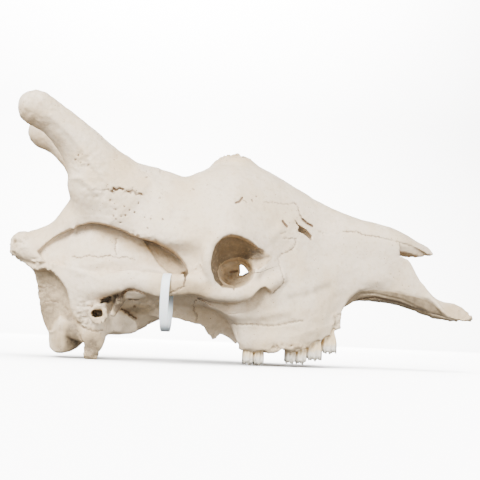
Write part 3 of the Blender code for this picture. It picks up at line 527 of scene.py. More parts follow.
# Marks pressed into the skin of the bone: depth, half width and darkness, then the path. A depth below
# zero is a raised ridge. Each path is seen as in the photo and falls on whatever bone lies behind it.
SUTURES = [
    (1.1, 0.8, 0.5, [(-205, 91, 218), (-196, 92, 217), (-186, 92, 219), (-178, 91, 214), (-176, 90, 222)]),
    (3.4, 1.25, 1.0, [
        (-180, 90, 217), (-179, 90, 221.5), (-175, 90, 219.5), (-171, 90, 222.5), (-166, 89, 221),
    ]),
    (2.2, 1.2, 0.7, [(-162, 88, 220), (-157, 87, 217), (-154, 87, 221), (-149, 86, 216), (-142, 84, 217)]),
    (1.3, 0.8, 0.7, [(-163, 88, 218), (-158, 87, 218), (-155, 86, 222), (-154, 86, 225)]),
    (1.0, 0.7, 0.5, [(-150, 85, 219), (-145, 84, 217), (-139, 83, 216)]),
    (1.0, 0.8, 0.6, [(20, 77, 217), (35, 69, 218), (52, 60, 218), (63, 53, 220), (66, 51, 223)]),
    (1.2, 0.8, 0.7, [(66, 51, 222), (71, 51, 217), (73, 55, 208), (76, 57, 200)]),
    (3.4, 1.5, 1.0, [(77, 57, 199), (84, 55, 194), (92, 52, 191)]),
    (2.4, 1.0, 0.9, [(66, 66, 195), (69, 65, 191)]),
    (3.2, 1.5, 1.0, [(47, 74, 193), (50, 74, 189), (53, 74, 186)]),
    (1.2, 0.9, 0.4, [(52, 75, 178), (44, 81, 175)]),
    (1.1, 0.8, 0.7, [
        (47, 80, 170), (54, 76, 170), (66, 71, 171), (66, 72, 163), (60, 76, 155), (45, 84, 148),
    ]),
    (1.0, 0.8, 0.5, [(45, 84, 148), (40, 87, 142), (44, 84, 130), (48, 87, 119)]),
    (1.2, 0.9, 0.6, [(48, 87, 119), (49, 88, 110), (44, 90, 105), (34, 95, 95)]),
    (0.9, 0.8, 0.35, [(102, 50, 184), (110, 48, 183), (118, 47, 182)]),
    (1.3, 0.9, 0.7, [(137, 44, 187), (143, 43, 187), (158, 42, 188), (165, 43, 184), (189, 41, 182)]),
    (1.0, 0.8, 0.6, [(189, 41, 182), (200, 41, 180), (218, 38, 177)]),
    (0.9, 0.7, 0.5, [(218, 39, 176), (219, 39, 166), (220, 37, 158)]),
    (1.4, 0.9, 0.7, [(-101, 105, 89), (-93, 110, 93), (-84, 114, 98), (-83, 113, 105)]),
    (1.1, 0.9, 0.6, [(-64, 73, 83), (-65, 44, 76), (-63, 35, 68), (-58, 34, 63), (-59, 34, 58)]),
    (1.2, 0.9, 0.7, [(-172, 70, 158), (-173, 69, 146), (-170, 70, 137)]),
    (1.3, 0.9, 0.7, [(-228, 60, 133), (-218, 63, 131), (-205, 66, 135), (-192, 68, 133), (-179, 70, 136)]),
    (1.2, 0.9, 0.6, [(-179, 70, 136), (-168, 71, 133), (-159, 72, 135), (-146, 72, 132)]),
    (2.0, 1.1, 1.0, [(-160, 51, 67), (-152, 48, 62), (-141, 42, 54)]),
    # a groove under the cheek arch's lower edge, darkened as a painted shadow
    (1.8, 1.2, 0.85, [
        (-166, 88, 79), (-160, 88, 87), (-154, 88, 91.5), (-144, 88, 91.5), (-131, 88, 88), (-118, 88, 84),
    ]),
    (1.8, 1.5, 0.9, [(-17, 48, 123), (-8, 48, 125)]),
    (2.0, 1.2, 0.6, [(-152, 66, 80), (-141, 66, 79), (-133, 66, 77), (-126, 66, 70)]),
    (3.0, 1.6, 1.0, [(-145, 60, 70)]),
    (3.0, 1.5, 1.0, [(-134, 60, 70)]),
    (1.5, 1.0, 0.7, [(-128, 60, 62), (-116, 60, 60), (-104, 60, 66)]),
    (1.3, 0.9, 0.6, [(-262, 37, 72), (-254, 39, 74), (-244, 42, 72)]),
    (1.4, 1.0, 0.6, [(-278, 33, 98), (-272, 34, 93), (-266, 36, 90), (-260, 38, 92)]),
    (1.2, 0.9, 0.5, [(-276, 33, 88), (-268, 35, 85), (-262, 38, 86)]),
    # two grooves along the palate's edge, darkened partly as painted shade of the flank that faces down
    (1.2, 1.3, 0.3, [
        (139, 36, 77), (153, 36, 94), (168, 36, 103), (186, 36, 104), (226, 36, 97), (263, 36, 82),
    ]),
    (2.0, 1.3, 0.9, [
        (150, 32, 83), (166, 32, 95), (188, 32, 99), (223, 32, 93), (260, 32, 81), (281, 32, 73),
    ]),
    (2.2, 1.0, 0.6, [(-189, 80, 77), (-182, 80, 79), (-176, 80, 81)]),
    (1.2, 0.9, 0.6, [(-211, 50, 31), (-206, 52, 20), (-202, 52, 8)]),
    (1.4, 1.0, 0.6, [(-211, 63, 42), (-204, 65, 39), (-193, 65, 36), (-184, 64, 38)]),
    (1.2, 1.2, 0.4, [(-232, 40, 66), (-222, 48, 52), (-214, 50, 34)]),
    (1.2, 1.1, 0.5, [(-14, 70, 54), (13, 85, 54), (34, 84, 53), (47, 84, 55), (55, 84, 57), (77, 82, 62)]),
    (2.2, 1.3, 1.0, [(-20, 98, 211), (-15, 95, 213), (-11, 91, 219)]),
    (1.2, 0.9, 0.6, [(-10, 92, 217), (-5, 91, 214)]),
]  # fmt: skip
PORES = [
    (-136, 72, 241), (-118, 79, 214), (-146, 84, 205), (-164, 89, 199), (-175, 89, 194), (-157, 87, 195),
    (-162, 86, 188), (-167, 87, 186), (-177, 88, 186), (-173, 86, 182), (-168, 83, 178), (-137, 88, 186),
    (-129, 91, 184), (-132, 92, 172), (-114, 94, 185), (-75, 80, 228), (3, 86, 217), (10, 79, 223),
    (-183, 90, 206), (-150, 84, 193), (-213, 92, 250), (-230, 89, 256), (-223, 91, 252), (-226, 90, 262),
    (-33, 90, 96), (-119, 91, 148), (-106, 93, 144), (-127, 90, 152), (-19, 112, 98),
]  # fmt: skip
RIDGES = [
    (-1.8, 6.0, [(-20, 69, 62), (0, 88, 63), (20, 87, 65), (37, 86, 69), (55, 85, 73)]),
    (-1.4, 4.0, [(-233, 81, 233), (-222, 89, 232), (-213, 91, 226), (-205, 91, 220)]),
    (-1.2, 5.0, [(-262, 60, 128), (-236, 62, 122), (-214, 70, 112), (-190, 80, 106)]),
    (-1.6, 5.0, [(-180, 88, 224), (-214, 92, 262), (-240, 94, 292), (-262, 98, 308)]),
    (-1.5, 6.0, [(-130, 88, 240), (-120, 88, 220), (-104, 90, 200)]),
    (-1.6, 7.0, [(30, 86, 170), (46, 80, 184), (62, 66, 198)]),
    (1.0, 3.0, [(-12, 106, 149), (3, 104, 149), (14, 100, 150)]),
    (1.4, 1.8, [(-9, 104, 144), (4, 103, 143), (18, 98, 145)]),
    (1.6, 2.2, [(-4, 104, 137), (12, 101, 138), (26, 95, 142)]),
    (-1.2, 2.2, [(-8, 104, 140), (4, 102, 140), (18, 98, 141)]),
    (-1.5, 2.2, [(-31, 58, 113), (-22, 58, 106), (-10, 58, 106), (0, 58, 110)]),
    (-1.3, 2.0, [(-29, 54, 125), (-24, 54, 117), (-14, 54, 112), (-5, 54, 114)]),
    (1.4, 1.8, [(-29, 56, 130), (-21, 56, 135), (-10, 56, 137)]),
    (-1.6, 2.6, [(263, 38, 103), (273, 38, 95), (282, 38, 84), (292, 38, 76)]),
    (-1.5, 2.6, [(-55, 60, 82), (-36, 60, 71), (-22, 60, 61), (-13, 60, 49), (-4, 60, 33)]),
    (1.2, 5.0, [(60, 84, 92), (92, 76, 100), (116, 66, 112)]),
    (-2.0, 3.2, [(-240, 50, 54), (-242, 50, 30), (-243, 48, 8)]),
    (-1.6, 2.6, [(-227, 60, 170), (-231, 60, 158), (-234, 60, 149), (-236, 60, 138), (-237, 60, 126)]),
]  # fmt: skip
MIDLINE_SUTURES = [
    (0.9, 0.8, 0.5, [(-110, 0, 250), (-60, 0, 262), (-46, 0, 268)]),
    (1.0, 0.8, 0.6, [(24, 0, 275), (71, 0, 248), (118, 0, 224), (188, 0, 205), (248, 0, 189), (266, 0, 180)]),
    (0.9, 0.8, 0.5, [(-118, 0, 249), (-119, 20, 248), (-116, 40, 246), (-119, 60, 240)]),
]  # fmt: skip

PORE = (1.8, 1.1, 0.9)  # depth, half width and darkness
MARK_REACH = 16  # how far behind or before its path a mark still falls on the bone
SKIN_WAVES = ((0.7, 17, 3), (0.35, 6, 4))  # height, size and seed of the unevenness all over the bone
SCATTER = (73856093, 19349663, 83492791)  # large primes, which scatter the cells of a noise over its table

# Rough bone: centre and radii of a cloud, height of its bumps and their size
ROUGH_BONE = [
    ((-14, 0, 290), (46, 50, 17), 1.7, 4.0),
    ((-300, 22, 142), (24, 60, 24), 2.2, 5.5),
    ((-268, 62, 118), (24, 12, 15), 1.2, 4.0),
    ((-262, 30, 84), (24, 42, 30), 0.9, 6.0),
    ((-206, 68, 58), (22, 16, 34), 0.8, 3.6),
    ((-200, 56, 4), (16, 12, 14), 1.6, 5.0),
    ((-275, 84, 318), (36, 36, 28), 0.5, 4.5),
    ((-212, 88, 250), (34, 16, 30), 0.5, 4.0),
    ((42, 72, 24), (26, 18, 10), 2.0, 5.0),
    ((128, 56, 54), (16, 16, 26), 1.5, 4.5),
    ((70, 74, 26), (74, 16, 9), 1.0, 4.0),
    ((-66, 110, 124), (18, 16, 7), 1.0, 3.0),
    ((-140, 86, 158), (26, 16, 12), 1.5, 5.0),
    ((-188, 84, 58), (20, 12, 20), 1.0, 5.0),
    ((-120, 52, 70), (34, 22, 14), 1.6, 6.5),
    ((312, 34, 78), (24, 16, 14), 0.6, 3.0),
    ((238, 0, 162), (36, 30, 10), 0.9, 4.0),
    ((-58, 34, 40), (50, 12, 22), 0.8, 5.0),
    ((-180, 90, 215), (50, 20, 24), 0.45, 5.0),
]  # fmt: skip

# Where the bone is stained or painted with shade: centre and radii of a cloud, and how far. Up to 0.5 it is
# cream, at 1 brown. The clouds on the condyle's front facet, inside the ear hole, the slit above it and the
# fossa passage, on the cheek arch, on the skull base under it, in the band under the temporal fossa's brim
# and in the orbit's front corner are painted shade.
STAINED_AND_SHADED_BONE = [
    ((-262, 34, 80), (40, 52, 52), 0.30),
    ((-240, 44, 26), (22, 30, 30), 0.34),
    ((-221, 44, 30), (20, 38, 40), 0.86),
    ((-192, 66, 62), (9, 16, 9), 1.9),
    ((-196, 55, 18), (20, 20, 38), 0.85),
    ((-190, 84, 58), (20, 20, 20), 0.46),
    ((-181, 65, 79), (12, 15, 7), 1.9),
    ((-165, 72, 79), (13, 28, 27), 1.35),
    ((-160, 56, 50), (36, 44, 24), 0.10),
    ((-138, 58, 66), (34, 34, 12), 0.92),
    ((-50, 34, 52), (64, 16, 36), 0.38),
    ((-131, 62, 153), (22, 34, 6), 0.62),
    ((-100, 62, 146), (22, 34, 6), 0.6),
    ((-80, 82, 112), (8, 20, 12), 1.8),
    ((-74, 114, 96), (50, 20, 16), 0.62),
    ((-190, 60, 172), (100, 34, 12), 0.24),
    ((-110, 70, 134), (44, 30, 20), 0.34),
    ((60, 76, 26), (86, 20, 13), 0.34),
    ((306, 32, 82), (40, 24, 22), 0.50),
    ((240, 0, 164), (50, 40, 12), 0.34),
    ((-284, 84, 314), (32, 36, 28), 0.56),
    ((-250, 84, 280), (34, 20, 26), 0.20),
    ((-14, 0, 292), (42, 46, 14), 0.42),
    ((10, 98, 142), (22, 30, 12), 0.86),
    ((-170, 60, 160), (44, 34, 16), 0.36),
    ((-140, 66, 150), (36, 34, 14), 0.44),
    ((-90, 98, 110), (18, 26, 9), 0.40),
]  # fmt: skip

# The upper part of the orbit, which is painted darkest, as shade under the brow
ORBIT_ROOF = (
    [
        (-52, 126), (-50, 142), (-45, 154), (-37, 163), (-28, 167), (-16, 166.5), (-5, 163), (5, 158),
        (14, 151.5), (20, 146), (8, 141), (0, 139), (-8, 142), (-18, 140.5), (-26, 136.5), (-33, 130.5),
        (-36, 122), (-34, 112), (-28, 104), (-35, 99.5), (-45, 108),
    ],
    ORBIT[1],
)  # fmt: skip
# the valley at the orbit's front corner, which is painted as shade
ORBIT_VALLEY = (
    [(0, 153), (12, 152), (22, 147.5), (20, 143.5), (10, 143), (17, 138), (12, 134), (4, 137)],
    ORBIT_CORNER[1],
)
SHADE_AND_STAIN_REACH = 60  # how far behind a hollow's floor its stain and painted shade reach
# Hollows stained all over. In the orbit, its roof, corner and valley, on the palate's flank that faces down,
# under the cheek, on the occiput's side and on the skull base the stain is painted shade as well: the
# hollow, how far, and how high above its floor the stain reaches
STAINED_AND_SHADED_HOLLOWS = [
    (ORBIT, 0.62, 99), (ORBIT_ROOF, 1.0, 99), (ORBIT_CORNER, 0.42, 14), (ORBIT_VALLEY, 0.70, 14),
    (OCCIPUT_SIDE, 0.72, 8), (SKULL_BASE, 0.16, 9), (PALATE_FLANK, 0.80, 20), (CHEEK_UNDERSIDE, 0.10, 14),
    (FOSSA_CHANNEL, 0.62, 12), (ETHMOID_GAP, 0.8, 9),
]  # fmt: skip


def cell_corners(part):
    """The eight corners of a cell, each with its weight at places part of the way along the cell's sides."""
    for corner in itertools.product((0, 1), repeat=3):
        near = np.abs(1 - np.array(corner, np.float32) - part)
        yield corner, near[:, 0] * near[:, 1] * near[:, 2]


def clay_noise(points, size, seed):
    """Smooth random bumps from -1 to 1 at points, about size millimetres across."""
    table = np.random.default_rng(seed).uniform(-1, 1, 4096).astype(np.float32)
    spot = points / size
    cell = np.floor(spot).astype(np.int64)
    part = (spot - cell).astype(np.float32)
    total = np.zeros(len(points), np.float32)
    for corner, weight in cell_corners(part * part * (3 - 2 * part)):
        place = (cell + corner) * SCATTER
        total += table[(place[:, 0] ^ place[:, 1] ^ place[:, 2]) & 4095] * weight
    return total


def wiggle(along, across):
    """A wandering line's offset, about 1 at most."""
    slow = np.sin(0.9 * along + 1.7 * np.sin(0.35 * across))
    return 0.6 * slow + 0.4 * np.sin(2.3 * along + 1.3 * across)


def hermite(knots, rows, at):
    """Rows of values read at new places along a smooth curve through them."""
    knots, rows, at = np.asarray(knots, float), np.asarray(rows, float), np.asarray(at, float)
    slope = np.gradient(rows, knots, axis=0)
    i = np.clip(np.searchsorted(knots, at, side="right") - 1, 0, len(knots) - 2)
    span = (knots[i + 1] - knots[i])[:, None]
    t = ((at - knots[i]) / span[:, 0])[:, None]
    return (
        rows[i] * (2 * t**3 - 3 * t**2 + 1)
        + slope[i] * span * (t**3 - 2 * t**2 + t)
        + rows[i + 1] * (3 * t**2 - 2 * t**3)
        + slope[i + 1] * span * (t**3 - t**2)
    )


def loft_shape(rings, closed=False):
    """Points and triangles of a closed body through rings that have the same number of points."""
    rings = np.array(rings, float)
    rows, count = rings.shape[:2]
    points = rings.reshape(-1, 3)
    triangles = []
    around = np.arange(count)
    after = (around + 1) % count
    for k in range(rows if closed else rows - 1):
        low, high = k * count, (k + 1) % rows * count
        triangles.append(np.stack([low + around, low + after, high + after], 1))
        triangles.append(np.stack([low + around, high + after, high + around], 1))
    if not closed:
        for k, row in enumerate((0, rows - 1)):
            triangles.append(
                np.stack([row * count + around, row * count + after, np.full(count, rows * count + k)], 1)
            )
        points = np.vstack([points, rings[0].mean(0), rings[-1].mean(0)])
    return points.astype(np.float32), np.vstack(triangles).astype(np.uint32)


def limb_shape(rows, upright=(0, 0, 1), sides=24):
    """A bent, tapering limb with oval sections and domed ends, from x, y, z and two radii."""
    rows = np.array(rows, float)
    reach = np.concatenate([[0], np.cumsum(np.linalg.norm(np.diff(rows[:, :3], axis=0), axis=1))])
    fine = hermite(reach, rows, np.linspace(0, reach[-1], 4 * len(rows)))
    along = np.gradient(fine[:, :3], axis=0)
    along /= np.linalg.norm(along, axis=1)[:, None]
    across = np.cross(along, upright)
    across /= np.linalg.norm(across, axis=1)[:, None]
    up = np.cross(across, along)
    angles = np.linspace(0, 2 * math.pi, sides, endpoint=False)
    cos, sin = np.cos(angles)[:, None], np.sin(angles)[:, None]

    def ring(k, push, shrink):
        centre = fine[k, :3] + along[k] * push
        return centre + shrink * (fine[k, 3] * cos * up[k] + fine[k, 4] * sin * across[k])

    rings = [ring(k, 0, 1) for k in range(len(fine))]
    for turn in (30, 55, 75, 86):
        turn = math.radians(turn)
        rings.insert(0, ring(0, -fine[0, 3:].min() * math.sin(turn), math.cos(turn)))
        rings.append(ring(-1, fine[-1, 3:].min() * math.sin(turn), math.cos(turn)))
    return loft_shape(rings)


def skull_ring(x, samples=9):
    """The skull's cross-section at x, a smooth closed curve through the nine lines of both sides."""
    right = [hermite([p[0] for p in line], [p[1:] for p in line], [x])[0] for line in SKULL_LINES]
    corners = right + [(-y, z) for y, z in right[-2:0:-1]]
    corners = np.array(corners + corners[:1])
    corners = np.vstack([corners[-2], corners, corners[1]])
    reach = np.concatenate([[0], np.cumsum(np.sqrt(np.linalg.norm(np.diff(corners, axis=0), axis=1)))])
    sides = zip(reach[1:-2], reach[2:-1], strict=True)
    stops = np.concatenate([np.linspace(start, stop, samples, endpoint=False) for start, stop in sides])
    return [(x, y, z) for y, z in hermite(reach, corners, stops)]


def orbit_rim_shape():
    """The raised ring round the eye, nearer the middle at its front."""
    x0, y0, z0 = ORBIT_CENTRE
    half_length, half_height = (radius + ORBIT_RIM * 0.8 for radius in ORBIT_RADII)
    rings = []
    for turn in np.linspace(0, 2 * math.pi, 48, endpoint=False):
        thick = ORBIT_RIM * (0.8 - 0.2 * math.cos(turn))
        outward = np.array((math.cos(turn), 0, math.sin(turn)))
        centre = np.array((x0, y0 - ORBIT_TURN * math.cos(turn) + 3 * math.sin(turn), z0))
        centre += outward * (half_length, 0, half_height)
        angles = np.linspace(0, 2 * math.pi, 16, endpoint=False)[:, None]
        rings.append(centre + thick * (np.cos(angles) * outward + np.sin(angles) * (0, 1, 0)))
    return loft_shape(rings, closed=True)


def ball_depth(x, y, z, centre, radii):
    """Distances to an ellipsoid."""
    near = [(a - c) / r for a, c, r in zip((x, y, z), centre, radii, strict=True)]
    level = np.sqrt(sum(n * n for n in near)) + 1e-6
    slope = np.sqrt(sum((n / r) ** 2 for n, r in zip(near, radii, strict=True))) + 1e-6
    return level * (level - 1) / slope


def outline_depth(x, z, outline):
    """Distances in the side view to a closed outline, less than zero inside it."""
    nearest, inside = np.inf, False
    for (ax, az), (bx, bz) in zip(outline, outline[1:] + outline[:1], strict=True):
        along = np.clip(
            ((x - ax) * (bx - ax) + (z - az) * (bz - az)) / ((bx - ax) ** 2 + (bz - az) ** 2), 0, 1
        )
        nearest = np.minimum(
            nearest, (x - ax - along * (bx - ax)) ** 2 + (z - az - along * (bz - az)) ** 2
        )
        if az != bz:
            inside = inside ^ (((az > z) != (bz > z)) & (x < (bx - ax) * (z - az) / (bz - az) + ax))
    return np.where(inside, -1, 1) * np.sqrt(nearest)


def smooth_sheet(knots, x, z):
    """The height y of a thin bent sheet through knots of x, z and y."""
    knots = np.array(knots, float)

    def pull(ax, az, bx, bz):
        far = ((ax - bx) ** 2 + (az - bz) ** 2) / 1000 + 1e-9
        return far * np.log(far)

    count = len(knots)
    plane = np.column_stack([np.ones(count), knots[:, :2]])
    system = np.zeros((count + 3, count + 3))
    system[:count, :count] = pull(knots[:, None, 0], knots[:, None, 1], knots[:, 0], knots[:, 1])
    system[:count, :count] += np.eye(count) * 0.4
    system[:count, count:], system[count:, :count] = plane, plane.T
    weights = np.linalg.solve(system, np.concatenate([knots[:, 2], np.zeros(3)]))
    sheet = weights[count] + weights[count + 1] * x + weights[count + 2] * z
    for (kx, kz, _), weight in zip(knots, weights[:count], strict=True):
        sheet = sheet + weight * pull(x, z, kx, kz)
    return sheet


def melted(one, other, melt):
    """The smaller of two distances, rounded over where they are within melt of each other."""
    share = np.clip(0.5 + 0.5 * (other - one) / melt, 0, 1)
    return other + (one - other) * share - melt * share * (1 - share)


class Clay:
    """A block of bone as grains, each with its distance to the surface in mm, less than zero inside."""

    def __init__(self, low, high, grain, reach=12.0):
        self.grain, self.reach = grain, reach
        self.first = np.floor(np.array(low) / grain).astype(int)
        size = np.ceil(np.array(high) / grain).astype(int) - self.first + 1
        self.depth = np.full(size, reach, np.float32)

    def places(self, part):
        """The x, y and z in mm of the grains of a part of the block."""
        rows = ((np.arange(s.start, s.stop) + f) * self.grain for s, f in zip(part, self.first, strict=True))
        return np.ix_(*rows)

    def within(self, low, high):
        """The part of the block between two corners, and the x, y and z of its grains."""
        start = np.maximum(np.floor(np.array(low) / self.grain).astype(int) - self.first, 0)
        stop = np.ceil(np.array(high) / self.grain).astype(int) - self.first + 1
        stop = np.minimum(stop, self.depth.shape)
        part = tuple(slice(a, b) for a, b in zip(start, stop, strict=True))
        return part, *(along.astype(np.float32) for along in self.places(part))

    def stamp(self, shape):
        """The part of the block that a closed mesh reaches, and the distances to it there."""
        points, triangles = shape
        grid = openvdb.FloatGrid.createLevelSetFromPolygons(
            points,
            triangles=triangles,
            transform=openvdb.createLinearTransform(voxelSize=self.grain),
            halfWidth=self.reach / self.grain,
        )
        low, high = (np.array(corner) for corner in grid.evalActiveVoxelBoundingBox())
        start, stop = np.maximum(low, self.first), np.minimum(high + 1, self.first + self.depth.shape)
        found = np.empty(stop - start, np.float32)
        grid.copyToArray(found, ijk=tuple(int(i) for i in start))
        part = tuple(slice(a, b) for a, b in zip(start - self.first, stop - self.first, strict=True))
        return part, found

    def add(self, part, found, melt):
        self.depth[part] = melted(self.depth[part], found, melt)

    def cut(self, part, found, melt):
        self.depth[part] = -melted(-self.depth[part], found, melt)

    def add_shape(self, shape, melt):
        self.add(*self.stamp(shape), melt)

    def cut_shape(self, shape, melt):
        self.cut(*self.stamp(shape), melt)

    def ball(self, centre, radii):
        """The part of the block round an ellipsoid, and the distances to it there."""
        centre, radii = np.array(centre, float), np.array(radii, float)
        part, x, y, z = self.within(centre - radii - self.reach, centre + radii + self.reach)
        return part, np.minimum(ball_depth(x, y, z, centre, radii), self.reach)

    def plate(self, outline, y_low, y_high, slant=(0.0, 0.0)):
        """The part of the block round a plate with a side-view outline that may drift from side to side."""
        reach, (dx, dz) = self.reach, slant
        xs, zs = zip(*outline, strict=True)
        part, x, y, z = self.within(
            (min(xs) + y_low * dx - reach, y_low - reach, min(zs) + y_low * dz - reach),
            (max(xs) + y_high * dx + reach, y_high + reach, max(zs) + y_high * dz + reach),
        )
        if dx or dz:
            x, z = x - dx * y, z - dz * y
        across = np.maximum(y_low - y, y - y_high)
        return part, np.minimum(np.maximum(outline_depth(x, z, outline), across), reach)

    def seen(self, outline, sheet, inner):
        """The part of the block behind an outline, its y, and the distances to the outline and to a sheet."""
        reach = self.reach
        xs, zs = zip(*outline, strict=True)
        part, x, y, z = self.within(
            (min(xs) - reach, inner, min(zs) - reach), (max(xs) + reach, 999, max(zs) + reach)
        )
        flat = x[:, :, 0], z[0, 0, :][None, :]
        height = smooth_sheet(sheet, *flat)
        steep = np.sqrt(1 + sum(slope * slope for slope in np.gradient(height, self.grain)))
        above = (y - height[:, None, :]) / steep[:, None, :]
        return part, y, outline_depth(*flat, outline)[:, None, :], above

    def carve(self, outline, floor, foot, brim):
        """Cuts a hollow with an outline seen from the side down to its floor."""
        part, _, side, above = self.seen(outline, floor, 0)
        hollow = -melted(-side, above, foot)
        self.cut(part, np.clip(hollow, -self.reach, self.reach).astype(np.float32), brim)

    def build_up(self, outline, skin, inner, corner, melt):
        """Adds a mass with an outline seen from the side, from inner mm out to its skin."""
        part, y, side, above = self.seen(outline, skin, inner - self.reach)
        mass = np.maximum(-melted(-side, -above, corner), inner - y)
        self.add(part, np.clip(mass, -self.reach, self.reach).astype(np.float32), melt)

    def mirrored(self):
        """Both sides of the skull from the clay of its left side, whose first row lies at y = 0."""
        both = Clay((0, 0, 0), (1, 1, 1), self.grain, self.reach)
        both.first = self.first - (0, self.depth.shape[1] - 1, 0)
        both.depth = np.concatenate([self.depth[:, :0:-1], self.depth], axis=1)
        return both


def sampled(block, first, grain, points):
    """A block's values at points, blended from the eight grains round each."""
    spot = np.clip(points / grain - first, 0, np.array(block.shape) - 1.001)
    cell = spot.astype(np.int64)
    total = np.zeros(len(points), np.float32)
    for (dx, dy, dz), weight in cell_corners((spot - cell).astype(np.float32)):
        total += block[cell[:, 0] + dx, cell[:, 1] + dy, cell[:, 2] + dz] * weight
    return total


def marks_at(points, marks, axis=1):
    """How deep the marks press in at points, in mm, and how dark they are. Seen along y, or along z."""
    out = np.abs(points[:, 1])
    deep, dark = np.zeros(len(points), np.float32), np.zeros(len(points), np.float32)
    for cut, width, darkness, path in marks:
        path = np.array(path, float)
        margin = np.full(3, 3 * width + 2.0)
        margin[axis] = MARK_REACH
        low, high = path.min(0) - margin, path.max(0) + margin
        near = np.nonzero(
            (points[:, 0] > low[0]) & (points[:, 0] < high[0]) & (out > low[1]) & (out < high[1])
            & (points[:, 2] > low[2]) & (points[:, 2] < high[2])
        )[0]  # fmt: skip
        if not len(near):
            continue
        x, y, z = points[near, 0], out[near], points[near, 2]
        if axis == 1:
            u, w = x + SIGHT_SLANT[0] * y, z + SIGHT_SLANT[1] * y
            line = path[:, [0, 2]] + path[:, 1:2] * SIGHT_SLANT
        else:
            u, w, line = x, y, path[:, :2]
        if width < FINE_MARK:
            u, w = u + 0.9 * wiggle(w, u), w + 0.9 * wiggle(u, w)
        nearest = np.full(len(near), 1e9)
        for a, b in zip(line[:-1], line[1:], strict=True) if len(line) > 1 else [(line[0], line[0])]:
            step = b - a
            along = np.clip(((u - a[0]) * step[0] + (w - a[1]) * step[1]) / max(step @ step, 1e-6), 0, 1)
            nearest = np.minimum(nearest, np.hypot(u - a[0] - along * step[0], w - a[1] - along * step[1]))
        # a cut has steep walls, and a ridge or a wide dent fades out
        profile = np.exp(-((nearest / width) ** (4 if cut > 0 and width < 3 else 2)))
        deep[near] += (cut * profile).astype(np.float32)
        dark[near] = np.maximum(dark[near], darkness * np.exp(-((nearest / (width + 0.5)) ** 2)))
    return deep, dark


def all_marks():
    """Every mark seen from the side: sutures and pores, then the plain ridges."""
    return SUTURES + [(*PORE, [place]) for place in PORES], [(*ridge[:2], 0.0, ridge[2]) for ridge in RIDGES]


def cloud_share(points, centre, radii):
    """How far points of either side lie inside a soft-edged ellipsoid, from 0 to 1."""
    out = np.stack([points[:, 0], np.abs(points[:, 1]), points[:, 2]], 1)
    away = np.sqrt((((out - centre) / radii) ** 2).sum(1))
    return np.clip(1.8 * (1 - away), 0, 1).astype(np.float32)


def pressed(points):
    """How far the skin lies below the smooth clay at points, in mm, with all marks and rough places."""
    marks, ridges = all_marks()
    deep = marks_at(points, marks)[0] + marks_at(points, ridges)[0]
    deep += marks_at(points, MIDLINE_SUTURES, axis=2)[0]
    deep += sum(height * clay_noise(points, size, seed) for height, size, seed in SKIN_WAVES)
    for k, (centre, radii, height, size) in enumerate(ROUGH_BONE):
        cloud = cloud_share(points, centre, radii)
        near = np.nonzero(cloud > 0)[0]
        coarse, fine = clay_noise(points[near], size, 20 + k), clay_noise(points[near], size / 2, 60 + k)
        deep[near] += (height * cloud[near] * (1.8 * coarse + 0.9 * fine)).astype(np.float32)
    return deep


def stains_and_shade(points):
    """How far the bone is stained or painted with shade at points, from 0 for white to 1 for brown, and how
    crumbly it is.
    """
    stain_and_shade, crumbly = np.zeros(len(points), np.float32), np.zeros(len(points), np.float32)
    for centre, radii, strength in STAINED_AND_SHADED_BONE:
        stain_and_shade = np.maximum(stain_and_shade, strength * cloud_share(points, centre, radii))
    for (outline, floor, *_), strength, height in STAINED_AND_SHADED_HOLLOWS:
        xs, zs = zip(*outline, strict=True)
        x, z = points[:, 0], points[:, 2]
        near = np.nonzero((x > min(xs)) & (x < max(xs)) & (z > min(zs)) & (z < max(zs)))[0]
        x, z = x[near], z[near]
        above = np.abs(points[near, 1]) - smooth_sheet(floor, x, z)
        inside = np.clip(0.3 - outline_depth(x, z, outline) / 1.5, 0, 1)
        share = inside * np.clip((height - above) / 4, 0, 1) * (above > -SHADE_AND_STAIN_REACH)
        stain_and_shade[near] = np.maximum(stain_and_shade[near], strength * share).astype(np.float32)
    for centre, radii, height, _ in ROUGH_BONE:
        crumbly = np.maximum(crumbly, min(1.0, height / 2) * cloud_share(points, centre, radii))
    return stain_and_shade, crumbly


def box_blur(block, radius):
    """A block averaged over a cube of grains round each grain."""
    for axis in range(3):
        padded = np.pad(block, [(radius + 1, radius) if k == axis else (0, 0) for k in range(3)], mode="edge")
        total = np.cumsum(padded, axis=axis, dtype=np.float32)
        ends = np.take(total, range(2 * radius + 1, total.shape[axis]), axis=axis)
        starts = np.take(total, range(0, total.shape[axis] - 2 * radius - 1), axis=axis)
        block = (ends - starts) / (2 * radius + 1)
    return block


